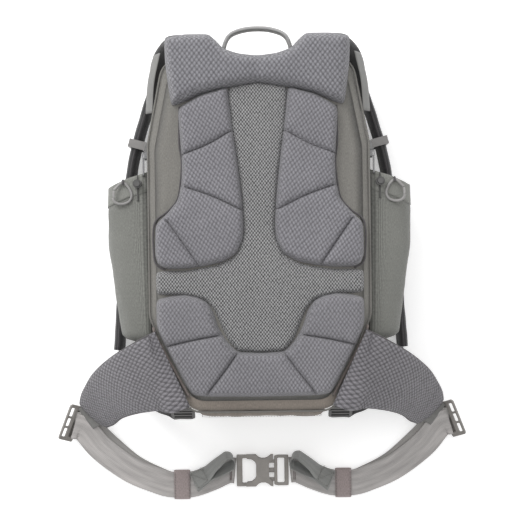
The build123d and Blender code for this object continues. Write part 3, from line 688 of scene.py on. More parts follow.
# ---------------------------------------------------------------------------------------------
# Spacer mesh: an open, springy mesh between the pads, sewn to them all round, in which the
# column up the middle and the field over the lumbar pad are one piece.
# ---------------------------------------------------------------------------------------------
mesh_weave = knitted("spacer_weave", (0.395, 0.393, 0.398), (0.0030, 0.0038), 0.785, 0.0013, 0.95,
                     blotch=0.06)
mesh_left = [
    (0, 198), (-42, 191), (-38, 140), (-30, 90), (-24, 40), (-22, -10), (-34, -39), (-60, -51), (-100, -58),
    (-130, -58), (-141, -60), (-141, -90), (-101, -92), (-74, -99), (-62, -113), (-46, -152), (-32, -169),
    (0, -170),
]
mesh_points = mesh_left + [(-x, y) for x, y in reversed(mesh_left[1:-1])]
field = cushion("spacer_field", outlined(mesh_points), panel_z, 0.0105, mesh_weave, edge=0.006, pillow=0.05,
                seed=51)
shown(field, "spacer_mesh", "pack", "air_mesh")

# ---------------------------------------------------------------------------------------------
# Edge binding: brown woven tape folded over the raw edge beside the lumbar pad, down to the base,
# and a dark piping let in to the pads' outer seams.
# ---------------------------------------------------------------------------------------------
tape_cloth = woven("edge_tape", (0.240, 0.203, 0.188), 0.0009, roughness=0.7)
both_sides = (("left", 1), ("right", -1))
tape = [at(x, y, 177.6) for x, y in ((-145.4, -134), (-142, -146), (-120, -188), (-98, -229))]
for side, flip in both_sides:
    line = path_through([(p.x * flip, p.y, p.z + 0.001) for p in tape], 0.004)
    piece = tube("edge_binding_" + side, line, 0.0019, tape_cloth)
    shown(piece, "edge_tape", "pack", *["edge_binding"][:side == "left"])
    outer = [(-106.5, 165), (-107.5, 117), (-104.5, 90), (-106.5, 62), (-111.5, 38), (-125, 22),
             (-142.5, 6),
             (-143.5, -36), (-139.5, -50), (-128, -56.5)]
    line = path_through([at(x * flip, y, 178.4) for x, y in outer], 0.004)
    piece = tube("pad_piping_" + side, line, 0.0012, piping_and_groove_shade_cloth)
    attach(piece, "pack")

# ---------------------------------------------------------------------------------------------
# Zips: a coil zip round the bag's sides and top and one on each front pocket, on woven tape, with
# painted metal sliders and pulls.
# ---------------------------------------------------------------------------------------------
def lay_cloth(mesh, cloth):
    """Lays a cloth map on a mesh, from the place in the cloth of each of its points."""
    layer = mesh.uv_layers.new(name="cloth")
    for loop in mesh.loops:
        layer.data[loop.index].uv = cloth[loop.vertex_index]


def strap(name, route, across, width, thick, finish, step=4.0, square=4.0, sides=16, crown=0.0, seed=1,
          ripple=0.0):
    """A band along a route in millimetres: its rounded section turns and narrows as it goes."""
    widths = width if isinstance(width, list) else [width] * len(route)
    rows = [tuple(p) + tuple(Vector(a).normalized()) + (w,) for p, a, w in zip(route, across, widths)]
    line = path_through(rows, step)
    centres = line[:, :3]
    ahead = np.gradient(centres, axis=0)
    ahead /= np.linalg.norm(ahead, axis=1)[:, None]
    normal = np.cross(ahead, line[:, 3:6])
    normal /= np.linalg.norm(normal, axis=1)[:, None]
    level = np.cross(normal, ahead)
    run = np.concatenate([[0], np.cumsum(np.linalg.norm(np.diff(centres, axis=0), axis=1))])
    points, cloth = [], []
    for i, (centre, side, up, wide) in enumerate(zip(centres, level, normal, line[:, 6])):
        for k in range(sides):
            angle = 2 * math.pi * (k + 0.5) / sides
            c, s = math.cos(angle), math.sin(angle)
            u = math.copysign(abs(c) ** (2 / square), c)
            v = math.copysign(abs(s) ** (2 / square), s)
            lift = crown * (1 - u * u) * (1 if v > 0 else 0)
            sway = ripple * noise.noise(Vector((run[i] * 0.05, u * 1.5, seed)))
            spot = centre + side * (u * wide / 2) + up * (v * thick / 2 + lift + sway)
            points.append(Vector(spot) * MM)
            cloth.append((u * wide / 2 * MM, run[i] * MM))
    made = build(name, points, joined(len(centres), sides), finish)
    lay_cloth(made.data, cloth)
    return made


zip_cloth = woven("zip_tape", (0.105, 0.104, 0.100), 0.0010, roughness=0.75)
zip_paint = moulded("zip_paint", (0.12, 0.12, 0.122), 0.35)
zip_paint.node_tree.nodes["Principled BSDF"].inputs["Metallic"].default_value = 0.7


def zipped(node, line):
    """A zip's tape and its coil along a line of points in millimetres."""
    tape = strap(node + "_tape", line, [(0, 0, 1)] * len(line), 7.0, 0.9, zip_cloth, step=6, sides=8)
    shown(tape, "zip_tape", "pack", node)
    middle = np.mean(np.array(line), axis=0)
    out = [np.array(p) + (np.array(p) - middle) * np.array((0.0045, 0.0045, 0)) for p in line]
    teeth = stitches(node + "_coil", [[Vector(p) * MM for p in out]], zip_paint, 0.0014, 0.0008, 0.0009)
    shown(teeth, "zip_metal", "pack")


main_zip_z, pocket_zip_z = 156.9, 39.5
order = sorted((math.atan2(x, y), x, y) for x, y in bag_outline if y > -0.060)
zipped("main_zip", [(x / MM * 1.0105, y / MM * 1.0075, main_zip_z) for _, x, y in order])
bend, straight = 20, 8
for node in ("front_zip", "top_zip"):
    low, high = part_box(node)
    half, top, base = high.x / MM - 0.7, high.y / MM - 0.7, low.y / MM
    line = [(-half, base), (-half, (base + top - bend) / 2), (-half, top - bend - straight)]
    line += [(-half + bend * (1 - math.cos(a)), top - bend + bend * math.sin(a))
             for a in np.linspace(0, math.pi / 2, 7)]
    line += [(-half + bend + straight, top), (0, top)]
    line += [(-x, y) for x, y in reversed(line[:-1])]
    zipped(node, [(x, y, pocket_zip_z) for x, y in line])
for node in ("main_zip_slider_left", "main_zip_slider_right", "main_zip_pull_left", "main_zip_pull_right",
             "front_zip_slider", "front_zip_pull", "top_zip_slider", "top_zip_pull"):
    carried(node, zip_paint)


# ---------------------------------------------------------------------------------------------
# Side pockets: one on each side, of pack cloth cut full and drawn in by an elastic cord in the
# hem, which is folded over and sewn down with two rows of stitches.
# ---------------------------------------------------------------------------------------------
pocket_cloth = woven("pocket_cloth", (0.240, 0.243, 0.224), 0.0015, blotch=0.14)
# The hem is the pocket's own cloth painted lighter: painted light that makes up for the shade on the steep
# upper wall.
hem_cloth_painted_light = woven("hem_cloth_painted_light", (0.285, 0.288, 0.266), 0.0015, blotch=0.14)
hem_drop, hem_break = 22, 0.4
side_low, side_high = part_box("side_pocket_right")
seam_x = side_low.x / MM
reach_full = side_high.x / MM - seam_x
pocket_base, pocket_top = side_low.y / MM, side_high.y / MM
pocket_mid_z = (side_low.z + side_high.z) / 2 / MM
pocket_half_z = (side_high.z - side_low.z) / 2 / MM


def pocket_point(turn, share, grow, flip, from_hem=None):
    """A point of the side pocket's wall: turn goes round it from front to back, share from base to hem."""
    c, s = math.cos(turn), math.sin(turn)
    bulge = math.copysign(abs(c) ** 0.55, c)
    along = seam_x + reach_full * bulge
    gap = abs(bulge)
    hem_y = pocket_top - hem_drop * (hem_break * min(gap / 0.5, 1) + (1 - hem_break) * max(gap - 0.5,
                                                                                           0) / 0.5)
    y = pocket_base + (hem_y - pocket_base) * share if from_hem is None else hem_y - from_hem
    level = (y - pocket_base) / (hem_y - pocket_base)
    lean = 40 / 59 + (1 - 40 / 59) * min(level / 0.62, 1)
    close = puff(np.array(level + 0.004), 0.055)
    gather = 1 - 0.02 * max(level - 0.82, 0) / 0.18
    reach = reach_full * lean * bulge * (0.25 + 0.75 * close) * gather + grow * bulge
    height = (pocket_half_z + grow) * math.copysign(abs(s) ** 0.72, s) * (0.72 + 0.28 * close)
    fold = noise.noise(Vector((turn * 2.2, y * 0.020, 3 + flip)))
    crease = noise.noise(Vector((turn * 6.0, y * 0.045, 9 + flip)))
    pull = (0.9 * fold + 0.5 * crease) * bulge * (1.7 if level < 0.85 else 0.8)
    return Vector(((seam_x + reach + pull) * flip * MM, y * MM, (pocket_mid_z + height) * MM))


def pocket_sheet(name, start, end, rows, grow, flip, finish, hem=None, turns=48):
    """Part of the side pocket's wall, between two shares of its height, as a thick sheet."""
    points, faces, cloth = [], [], []
    for i in range(rows + 1):
        share = start + (end - start) * i / rows
        for k in range(turns + 1):
            turn = -math.pi / 2 + math.pi * k / turns
            spot = pocket_point(turn, share, grow, flip, None if hem is None else hem * (1 - i / rows))
            points.append(spot)
            cloth.append((turn * 0.052, spot.y))
    for i in range(rows):
        for k in range(turns):
            a = i * (turns + 1) + k
            faces.append((a, a + 1, a + turns + 2, a + turns + 1))
    mesh = bpy.data.meshes.new(name)
    mesh.from_pydata([tuple(p) for p in points], [], faces if flip > 0 else [f[::-1] for f in faces])
    lay_cloth(mesh, cloth)
    mesh.polygons.foreach_set("use_smooth", [True] * len(mesh.polygons))
    mesh.materials.append(finish)
    made = bpy.data.objects.new(name, mesh)
    scene.collection.objects.link(made)
    thick = made.modifiers.new("thickness", "SOLIDIFY")
    thick.thickness = 0.0016
    thick.offset = -1
    return made


lock_plastic = moulded("lock_plastic", (0.055, 0.054, 0.053), 0.45)
hook_plastic = moulded("hook_plastic", (0.205, 0.200, 0.196), 0.42)
ring_x, ring_y = 187.4, 48.0
hook_shape = [
    (-12.8, -4.6), (-11.5, -8.5), (-7.5, -12.0), (0, -13.2), (8, -10.6), (12.0, -5), (12.2, 1.5), (9.5, 8),
    (5.5, 13),
    (1.5, 15.6), (-3, 14.5), (-7.0, 10.5), (-11.2, 6.2),
]
for side, flip in (("left", -1), ("right", 1)):
    wall = pocket_sheet("side_pocket_cloth_" + side, 0.0, 1.0, 46, 0, flip, pocket_cloth)
    shown(wall, "pack_cloth", "pack", "side_pocket_" + side)
    hem = pocket_sheet("pocket_hem_" + side, 0.8, 1.0, 9, 0.9, flip, hem_cloth_painted_light, hem=27)
    shown(hem, "pack_cloth", "pack")
    rows = [[pocket_point(-1.5 + 3.0 * k / 40, 1, 1.2, flip, low) for k in range(41)] for low in (23.5,
                                                                                                  26.0)]
    rows.append([pocket_point(-1.5 + 3.0 * k / 40, 1, 1.1, flip, 1.8) for k in range(41)])
    shown(stitches("hem_stitching_" + side, rows, thread), "pack_cloth", "pack")
    seam = [Vector(((seam_x + 0.8) * flip * MM, y * MM, (pocket_mid_z + pocket_half_z - 1.2) * MM))
            for y in np.linspace(pocket_base + 6, pocket_top - 2, 40)]
    shown(tube("pocket_seam_" + side, seam, 0.0011, piping_cloth), "pack_cloth", "pack")

    for node in ("cord_lock_", "cord_lock_button_"):
        carried(node + side, lock_plastic)
    carried("hook_gate_" + side, hook_plastic)
    low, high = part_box("hook_" + side)
    middle_z = (low.z + high.z) / 2
    loop = path_through([(flip * (ring_x - x) * MM, (ring_y + y) * MM, middle_z) for x, y in hook_shape],
                        0.0012)
    shown(tube("hook_frame_" + side, loop, 0.0019, hook_plastic, sides=10), "moulded_grey", "hook_" + side,
          "hook_" + side)
    tab = [(flip * (ring_x - 1) * MM, (ring_y + y) * MM, middle_z + z * MM) for y, z in
           ((13.6, 2.2), (15.6, 2.6), (17.4, 1.2), (19, -0.6))]
    shown(tube("hook_tab_" + side, path_through(tab, 0.0012), 0.0018, piping_and_groove_shade_cloth), "dark_web", "pack")

cord_cloth = woven("elastic_cord", (0.130, 0.130, 0.124), 0.0007, roughness=0.7)
for side, flip in (("left", -1), ("right", 1)):
    x = flip * 166.4 * MM
    free = [(x, y * MM, z * MM) for y, z in ((56, 153.0), (50, 152.8), (44, 152.7), (38.5, 152.9))]
    fed = [(x, y * MM, z * MM) for y, z in ((68.2, 153.0), (71, 152.8), (74, 152.0))]
    cord = tube("drawcord_" + side, path_through(free, 0.002), 0.0013, cord_cloth)
    shown(cord, "dark_web", "pack", *["pocket_drawcords"][:side == "left"])
    shown(tube("drawcord_fed_" + side, path_through(fed, 0.002), 0.0013, cord_cloth), "dark_web", "pack")


# ---------------------------------------------------------------------------------------------
# Shoulder straps: padded, their dark face partly real and partly painted shade, folded back over
# the bag's top and lying on edge along its sides, with piping down both edges. A moulded sternum
# slider grips each one.
# ---------------------------------------------------------------------------------------------
def webbing(name, colour, roughness, pitch=0.0016, shine=0.35, streak=0.16):
    """Flat woven webbing: fine ribs across, warp yarns along, and a satin streakiness."""
    made, tree, shader = material(name, roughness)
    shader.inputs["Specular IOR Level"].default_value = shine
    shader.inputs["Sheen Weight"].default_value = 0.2
    weft = ribs(tree, pitch, math.pi / 2, 0.7)
    warp = ribs(tree, 0.0022, 0.0, 0.4, 2.0)
    shaded(tree, shader, colour, (weft, [(0.0, 0.84), (0.8, 1.05)]), (warp, [(0.0, 0.93), (1.0, 1.03)]),
           (clouds(tree, (160, 14), 5.0), [(0.3, 1 - streak), (0.7, 1.08)]))
    bumped(tree, shader, weft, 0.00022)
    bumped(tree, shader, warp, 0.00011)
    return made


def flipped(points, flip):
    """The same points for either side of the pack."""
    return [(x * flip, y, z) for x, y, z in points]


# Dark grey: partly the strap's own dark face, partly painted shade where the strap lies deep down by the
# table.
strap_cloth = woven("strap_cloth", (0.062, 0.061, 0.063), 0.0014, roughness=0.8, blotch=0.2)
strap_route = [
    (-97, 256, 171.8), (-98, 257, 144.8), (-108, 256, 110.8), (-124, 244, 73), (-142, 214, 43),
    (-162, 167, 35),
    (-183, 87, 35), (-194, -20, 32), (-200, -100, 31), (-205, -171, 31),
]
strap_across = [
    (1, 0, 0), (1, 0, 0), (0.95, 0, -0.3), (0.7, 0, -0.7), (0.2, 0, -1), (0, 0, -1), (0, 0, -1), (0, 0, -1),
    (0, 0, -1), (0, 0, -1),
]
grey_web = webbing("grey_web", (0.185, 0.183, 0.176), 0.6)
dark_web = webbing("dark_web", (0.075, 0.073, 0.072), 0.65)
for side, flip in both_sides:
    route, across = flipped(strap_route, flip), flipped(strap_across, flip)
    pad = strap("shoulder_strap_cloth_" + side, route, across, 57, 15, strap_cloth, step=5, square=2.7,
                sides=22,
                ripple=0.5, seed=4)
    shown(pad, "strap_cloth", "pack", "shoulder_strap_" + side)
    rows = [tuple(p) + tuple(a) for p, a in zip(route, across)]
    line = path_through(rows, 5)
    for edge, share in (("outer", 0.485), ("inner", -0.485)):
        rim = [Vector(p[:3] + p[3:6] * 57 * share) * MM for p in line]
        shown(tube(f"strap_piping_{edge}_{side}", rim, 0.0013, piping_and_groove_shade_cloth), "edge_tape", "pack")

# ---------------------------------------------------------------------------------------------
# Sternum sliders: a moulded grey band with rounded walls round each strap, with a raised rail on
# its outer face for the chest webbing.
# ---------------------------------------------------------------------------------------------
slider_shine = moulded("slider_plastic", (0.165, 0.158, 0.154), 0.28)
for side in ("left", "right"):
    carried("sternum_slider_" + side, slider_shine)
    low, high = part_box("sternum_slider_" + side)
    outer = low.x if side == "left" else high.x
    middle = (low + high) / 2
    rail = [(outer + (0.0010 if side == "left" else -0.0010), middle.y, middle.z + z) for z in
            np.linspace(-0.026, 0.026, 9)]
    shown(tube("sternum_rail_" + side, rail, 0.0014, slider_shine), "moulded_grey", "sternum_" + side)

# ---------------------------------------------------------------------------------------------
# Webbing on the pack: load lifters beside the yoke, compression straps on the sides, strap tails
# that run to the ladder locks at the base corners, and the short webs that hold those locks.
# ---------------------------------------------------------------------------------------------
lifter = [(-149, 158, 160.4), (-146, 200, 158.4), (-138, 240, 150.4)]
tail_route = [
    (-205, -173, 31), (-201, -203, 33), (-181, -229, 36), (-153, -247, 45), (-126, -256.9, 65.3),
    (-111, -266.9, 85.3), (-110, -265.8, 97.5),
]
tail_across = [(0, 0, 1), (0.3, 0.05, 0.95), (0.5, 0.35, 0.8), (0.65, 0.6, 0.45), (0.9, 0.4, 0), (1, 0, 0),
               (1, 0, 0)]
anchor_web = [(-110, -252.9, 121.9), (-110, -250.8, 125.9), (-110, -248.2, 130.7)]
for side, flip in both_sides:
    piece = strap("load_lifter_" + side, flipped(lifter, flip), [(0.5 * flip, 0, 0.86)] * 3, 20, 1.8,
                  grey_web)
    shown(piece, "grey_web", "pack", *["load_lifters"][:side == "left"])
    piece = strap("strap_tail_web_" + side, flipped(tail_route, flip), flipped(tail_across, flip), 25, 1.8,
                  dark_web)
    shown(piece, "dark_web", "pack", "strap_tail_" + side)
    piece = strap("anchor_web_" + side, flipped(anchor_web, flip), [(1, 0, 0)] * 3, 25, 1.8, dark_web,
                  step=2)
    shown(piece, "dark_web", "pack", *["anchor_webs"][:side == "left"])
    side_web = [(-151.6, 97, z) for z in (77, 95, 112, 130, 146)]
    piece = strap("compression_web_" + side, flipped(side_web, flip), [(0, 1, 0)] * 5, 20, 1.6, grey_web)
    shown(piece, "grey_web", "pack", *["compression_straps"][:side == "left"])
    rows = [[(-152.6 * flip * MM, y * MM, z * MM) for y in (89, 105)] for z in (80, 83, 143)]
    shown(stitches("compression_tack_" + side, rows, thread), "grey_web", "pack")
    carried("ladder_lock_" + side, lock_plastic)

# ---------------------------------------------------------------------------------------------
# Haul handle: folded webbing standing on edge between the yoke's lobes, gathered at both ends
# where they go in to the top seam.
# ---------------------------------------------------------------------------------------------
handle_web = webbing("handle_web", (0.37, 0.368, 0.365), 0.6)
handle_half_line = [(-46, 231.8, 149.4), (-46, 237.5, 149.4), (-44.6, 251.9, 149.4), (-36.8, 264.9, 149.4),
                    (-19.3, 271.7, 149.4)]
handle_line = handle_half_line + [(0, 273.5, 149.4)] + [(-x, y, z) for x, y,
                                                        z in reversed(handle_half_line)]
handle_widths = [3.0, 7, 17, 24, 25, 25, 25, 24, 17, 7, 3.0]
handle = strap("haul_handle_web", handle_line, [(0, 0, 1)] * 11, handle_widths, 5.8, handle_web, step=3,
               square=3.2)
shown(handle, "grey_web", "handle", "haul_handle")
rows = []
for z in (10.5, -10.5):
    inner = [(x * 0.985, y - (0 if abs(x) > 40 else 1), 149.4 + z) for x, y, _ in handle_line[3:8]]
    rows.append([Vector(p) * MM for p in path_through(inner, 4)])
shown(stitches("handle_stitching", rows, thread), "grey_web", "handle")

# ---------------------------------------------------------------------------------------------
# Hip wings: foam under the knitted face, sewn to the bag beside the lumbar pad, drooping and
# narrowing to the belt sliders, bound along both edges.
# ---------------------------------------------------------------------------------------------
wing_knit = knitted("wing_knit", (0.236, 0.226, 0.244), (0.0048, 0.0060), 0.785, 0.0014, 0.58)
root = Vector((-129.5, -195, 184.8))
hinge = Vector((-0.397109, 0.917772, 0))
out = Vector((-hinge.y, hinge.x, 0)).normalized()
stations = [(-10, 2.5, 0, 112, 0), (5, 2, 0, 111, 0), (27, 14, -4, 99, 0), (62, 42, -5, 86, 3),
            (94, 85, 0, 75, 9),
            (116, 122, 10, 67, 15), (127, 143, 15, 60, 19), (133, 156, 19, 54, 22)]
wing_route, wing_across, wing_widths = [], [], []
for reach, drop, shift, width, turn in stations:
    wing_route.append(tuple(root + out * reach - Vector((0, 0, drop)) - hinge * shift))
    wing_across.append(tuple(Matrix.Rotation(math.radians(turn), 3, "Z") @ hinge))
    wing_widths.append(width)
for side, flip in both_sides:
    route = flipped(wing_route, flip)
    across = flipped(wing_across, flip)
    pad = strap("hip_wing_cloth_" + side, route, across, wing_widths, 12.5, wing_knit, step=3.4, square=2.5,
                sides=56,
                crown=0.8, ripple=0.8, seed=7)
    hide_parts("hip_wing_" + side)
    near, far = Vector(route[0]) * MM, Vector(route[1]) * MM
    near.z = far.z = root.z * MM
    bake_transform(pad)
    rows = [tuple(p) + tuple(a) + (w,) for p, a, w in zip(route, across, wing_widths)]
    line = path_through(rows, 4)
    for edge, share in (("upper", 0.49), ("lower", -0.49)):
        rim = [(Vector(p[:3]) + Vector(p[3:6]) * p[6] * share) * MM for p in line]
        binding = tube(f"wing_binding_{edge}_{side}", rim, 0.0016, piping_and_groove_shade_cloth)
        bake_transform(binding)

    tip = flipped([wing_route[-2], wing_route[-1], (-250.5, -269, 24), (-256.5, -273, 20.8)], flip)
    neck = strap("wing_neck_web_" + side, tip, flipped([wing_across[-1]] * 4, flip), [34, 36, 37, 37], 2.0,
                 grey_web,
                 step=3)
    shown(neck, "grey_web", "wing_" + side)

# ---------------------------------------------------------------------------------------------
# Belt sliders: moulded grey adjusters at the wings' tips, with a smooth curved plate over the
# webbing and an open ladder of three windows beyond it.
# ---------------------------------------------------------------------------------------------
def cast(name, outer, holes, thick, bevel, finish, place):
    """A moulded plate from flat outlines in millimetres, with rounded edges, put in its place."""
    curve = bpy.data.curves.new(name, "CURVE")
    curve.dimensions = "2D"
    curve.fill_mode = "BOTH"
    curve.extrude = thick / 2 - bevel
    curve.bevel_depth = bevel
    curve.bevel_resolution = 2
    curve.offset = -bevel
    for outline in [outer] + holes:
        spline = curve.splines.new("POLY")
        spline.points.add(len(outline) - 1)
        for point, (x, y) in zip(spline.points, outline):
            point.co = (x, y, 0, 1)
        spline.use_cyclic_u = True
    drawn = bpy.data.objects.new(name + "_drawn", curve)
    scene.collection.objects.link(drawn)
    bpy.context.view_layer.update()
    mesh = bpy.data.meshes.new_from_object(drawn.evaluated_get(bpy.context.evaluated_depsgraph_get()))
    points = [place @ v.co for v in mesh.vertices]
    faces = [tuple(f.vertices) for f in mesh.polygons]
    bpy.data.objects.remove(drawn)
    made = build(name, [p * MM for p in points], faces, finish, smooth=False)
    set_cloth_map(made)
    return made


def eased_plate(corners, radius):
    """A closed outline in millimetres with rounded corners."""
    return [tuple(p) for p in rounded(corners, radius, 0.7)]


belt_plastic = moulded("belt_plastic", (0.190, 0.178, 0.166), 0.36)
slider_long = Vector((0.361, 0.9325, 0)).normalized()
slider_short = Vector((0.70, -0.27, -0.66))
slider_up = slider_long.cross(slider_short).normalized()
slider_side = slider_up.cross(slider_long).normalized()
slider_at = Vector((-263.936 + 5 - 19, -277.14 - 12 + 11, 16.8 + 5))
plate_outline = [(-27, -11), (-24, -12), (24, -12), (27, -9), (27, 9), (24, 12), (-24, 12), (-27, 11)]
for side, flip in both_sides:
    axes = [Vector((v.x * flip, v.y, v.z)) for v in (slider_long, slider_side, slider_up)]
    centre = Vector((slider_at.x * flip, slider_at.y, slider_at.z))
    place = Matrix((tuple(axes[0]) + (0,), tuple(axes[1]) + (0,), tuple(axes[2]) + (0,),
                    (0, 0, 0, 1))).transposed()
    place.translation = centre
    windows = [eased_plate([(a, low), (b, low), (b, high), (a, high)], 1.6)
               for a, b in ((-22, -9), (-6, 6), (9, 22)) for low, high in ((-9.0, -2.2),)]
    windows.append(eased_plate([(-20, 2.4), (20, 2.4), (20, 8.8), (-20, 8.8)], 1.6))
    frame_plate = cast("belt_slider_frame_" + side, eased_plate(plate_outline, 1.2), windows,
                       3.8, 0.8, belt_plastic, place)
    shown(frame_plate, "moulded_grey", "belt_" + side, "belt_slider_" + side)
    cover = []
    for share in np.linspace(-1, 1, 9):
        lift = 3.2 + 2.2 * math.cos(share * math.pi / 2)
        cover.append(tuple(centre + axes[0] * 26 * share + axes[1] * 6.8 + axes[2] * lift))
    plate = strap("belt_slider_cover_" + side, cover, [tuple(axes[1])] * 9,
                  [6, 9, 10.5, 11, 11, 11, 10.5, 9, 6], 2.2,
                  belt_plastic, step=1.6, square=3.0)
    shown(plate, "moulded_grey", "belt_" + side)

# ---------------------------------------------------------------------------------------------
# Belt webbing: satin 38 mm webbing doubled back on itself through the slider, the layer beneath
# showing a little past the upper one, with dark bar tacks near the buckle and a cloth keeper.
# ---------------------------------------------------------------------------------------------
belt_web = webbing("belt_web", (0.460, 0.436, 0.424), 0.36, pitch=0.0013, shine=0.8, streak=0.34)
# The layer beneath is the same webbing, duller and painted darker: painted shade from the upper layer over
# it.
under_web_painted_shade = webbing("under_web_painted_shade", (0.330, 0.318, 0.306), 0.5)
tack_thread = woven("tack_thread", (0.120, 0.062, 0.058), 0.0006, roughness=0.7)
keeper_cloth = woven("keeper_cloth", (0.410, 0.345, 0.338), 0.0011, roughness=0.6)
start = Vector((-258.936, -289.14, 16.8))
keeper_mid = Vector((-118, -373, 6))
belt_route = [
    start, start + Vector((24, -29, -8)), start + Vector((65, -60, -12)),
    keeper_mid + Vector((-36, 7, 0.5)),
    keeper_mid + Vector((-14, 1, 0)), keeper_mid + Vector((14, 1, 0)), keeper_mid + Vector((42, 10, 1)),
    Vector((-52, -352, 10)), Vector((-40, -352, 10)),
]
belt_across = [
    (0.4, 0.9, 0.2), (0.6, 0.8, 0), (0.5, 0.86, 0), (0.2, 1, 0), (0, 1, 0), (0, 1, 0), (-0.2, 1, 0),
    (0, 1, 0),
    (0, 1, 0),
]
for side, flip in both_sides:
    body = "belt_" + side
    route = flipped([tuple(p) for p in belt_route], flip)
    across = flipped(belt_across, flip)
    entry = start + Vector((-15, 6, 3.2))
    route = [(entry.x * flip, entry.y, entry.z)] + route
    across = [(0.36 * flip, 0.93, 0)] + across
    raised = [(x, y, z + 0.85) for x, y, z in route]
    upper = strap("belt_webbing_upper_" + side, raised, across, 38, 1.6, belt_web, step=3, ripple=0.35,
                  seed=2)
    shown(upper, "belt_web", body, "belt_webbing_" + side)
    shifted = []
    for k, ((x, y, z), a) in enumerate(zip(route, across)):
        aside = (2, 7, 9, 5, 1.5, 0)[min(k, 5)]
        shifted.append((x + a[0] * aside, y + a[1] * aside, z - 0.85))
    lower = strap("belt_webbing_lower_" + side, shifted, across, 37, 1.5, under_web_painted_shade, step=3, seed=3)
    shown(lower, "belt_web", body)
    tacks = []
    for x in (-45.5, -47.5, -90.5):
        tacks.append([Vector((x * flip, -352 - 8 * (x < -60) + y,
                              11.9 - 3.2 * (x < -60))) * MM for y in (-14, 14)])
    shown(stitches("belt_tacks_" + side, tacks, tack_thread, 0.0012, 0.0004, 0.0005), "belt_web", body)
    ring = []
    for k in range(48):
        angle = 2 * math.pi * k / 48
        c, s = math.cos(angle), math.sin(angle)
        y = math.copysign(abs(c) ** 0.22, c) * 20.9
        z = math.copysign(abs(s) ** 0.6, s) * 3.3
        ring.append((keeper_mid.x * flip, keeper_mid.y + 1 + y, keeper_mid.z + z))
    ring.append(ring[0])
    keeper = strap("belt_keeper_cloth_" + side, ring, [(1, 0, 0)] * 49, 24, 1.7, keeper_cloth, step=1.6,
                   sides=10)
    shown(keeper, "edge_tape", body, "belt_keeper_" + side)
    hems = [[Vector(((keeper_mid.x + x) * flip, keeper_mid.y + 1 + y,
                     keeper_mid.z + 4.3)) * MM for y in (-18, 18)]
            for x in (-10, 10)]
    shown(stitches("keeper_stitching_" + side, hems, thread), "edge_tape", body)

# ---------------------------------------------------------------------------------------------
# Pull tabs: the webbing's free ends, folded to a teardrop loop that stands on edge, its doubled
# tail sewn through with a box and a cross.
# ---------------------------------------------------------------------------------------------
tab_web = webbing("tab_web", (0.262, 0.266, 0.256), 0.6)
tail_at, head_at = Vector((-100, -367)), Vector((-50, -336))
run = (head_at - tail_at).normalized()
lean = Vector((-run.y, run.x))
tab_mid_z = 13.2 + 17
for side, flip in both_sides:
    loop = [tail_at - lean * 1.1, tail_at + run * 12 - lean * 1.1, tail_at + run * 24 - lean * 1.3]
    loop += [tail_at + run * 38 - lean * 5.0]
    for k in range(9):
        angle = -math.pi / 2 + math.pi * k / 8
        loop.append(head_at + run * (8.0 * math.cos(angle)) + lean * (7.9 * math.sin(angle)))
    loop += [tail_at + run * 38 + lean * 5.0, tail_at + run * 24 + lean * 1.3,
             tail_at + run * 12 + lean * 1.1,
             tail_at + lean * 1.1]
    line, across = [], []
    for p in loop:
        along = min(max((p - tail_at).dot(run) / 46, 0), 1)
        tilt = math.radians(38 + 34 * along)
        flat = lean * -math.cos(tilt)
        line.append((p.x * flip, p.y, tab_mid_z - 5.5 * (1 - along)))
        across.append((flat.x * flip, flat.y, math.sin(tilt)))
    tab = strap("pull_tab_web_" + side, line, across, 33, 1.9, tab_web, step=2)
    shown(tab, "grey_web", "belt_" + side, "pull_tab_" + side)
    corners = [(2, -14), (20, -14), (20, 14), (2, 14), (2, -14)]
    box_rows = [[corners[i], corners[i + 1]] for i in range(4)] + [[(2, -14), (20, 14)],
                                                                   [(2, 14), (20, -14)]]
    rows = []
    for pair in box_rows:
        ends = []
        for u, w in pair:
            tilt = math.radians(38 + 34 * u / 46)
            spot = tail_at + run * u - lean * (w * math.cos(tilt))
            rise = tab_mid_z - 5.5 * (1 - u / 46) + w * math.sin(tilt)
            face = -lean * math.sin(tilt) * -2.3
            ends.append(Vector(((spot.x + face.x) * flip, spot.y + face.y,
                                rise + 2.3 * math.cos(tilt))) * MM)
        rows.append(ends)
    shown(stitches("tab_stitching_" + side, rows, thread), "grey_web", "belt_" + side)

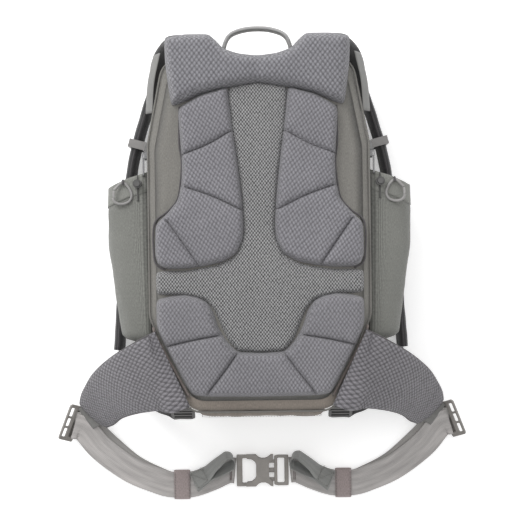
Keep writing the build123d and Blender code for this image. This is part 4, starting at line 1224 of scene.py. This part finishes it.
# ---------------------------------------------------------------------------------------------
# Side-release buckle: warm grey nylon. The female half on the left has a waisted plate between
# two open windows; the male half on the right carries a centre tongue and two sprung prongs.
# ---------------------------------------------------------------------------------------------
buckle_plastic = moulded("buckle_plastic", (0.235, 0.220, 0.205), 0.34)
# The tongue and prongs are the buckle's own plastic painted darker: painted shade inside the female shell.
prong_plastic_painted_shade = moulded("prong_plastic_painted_shade", (0.200, 0.188, 0.176), 0.34)


def buckle_part(name, outline, radius, thick, bevel, z, body="belt_left", *nodes, holes=(),
                plastic=buckle_plastic):
    """A moulded part of the buckle, centred at a height in millimetres."""
    piece = cast(name, eased_plate(outline, radius), list(holes), thick, bevel, plastic,
                 Matrix.Translation((0, -352, z)))
    shown(piece, "moulded_grey", body, *nodes)


arms = [(-38, -23.0), (-11, -23.0), (-11, -18.2), (-29.5, -18.2)]
arms += [(x, -y) for x, y in reversed(arms)]
buckle_part("buckle_web_frame", arms, 1.3, 10.5, 1.0, 10, "belt_left", "buckle_female")
shell_half = [
    (9.5, 9), (10.5, 12.0), (15.6, 16.5), (15.6, 23.3), (12, 22.8), (8, 19.4), (4, 17.6), (-2, 17.6),
    (-6, 19.4), (-10, 23.3), (-24, 23.3), (-26, 20.5), (-22, 16.8), (-16, 16.4), (-11, 12.6), (-9.5, 9),
]
shell = shell_half[::-1] + [(x, -y) for x, y in shell_half]
buckle_part("buckle_shell_top", shell, 1.0, 2.4, 0.7, 14.9)
buckle_part("buckle_shell_base", shell, 1.0, 2.4, 0.7, 5.1)
buckle_part("buckle_shell_spine", [(-9, -14), (-6.8, -14), (-6.8, 14), (-9, 14)], 0.8, 9.6, 0.5, 10)
male = [(16.9, -21), (22, -22.3), (38, -22.3), (38, 22.3), (22, 22.3), (16.9, 21)]
window = eased_plate([(21.5, -18.2), (31.8, -18.2), (31.8, 18.2), (21.5, 18.2)], 1.8)
buckle_part("buckle_male_frame", male, 1.8, 9.4, 1.2, 10, "belt_right", "buckle_male", holes=[window])
tongue = [(0.5, -2.4), (2, -3.2), (18, -3.4), (18, 3.4), (2, 3.2), (0.5, 2.4)]
buckle_part("buckle_tongue", tongue, 0.6, 5.0, 0.6, 10, "belt_right", plastic=prong_plastic_painted_shade)
for name in ("upper", "lower"):
    carried("buckle_prong_" + name, prong_plastic_painted_shade)
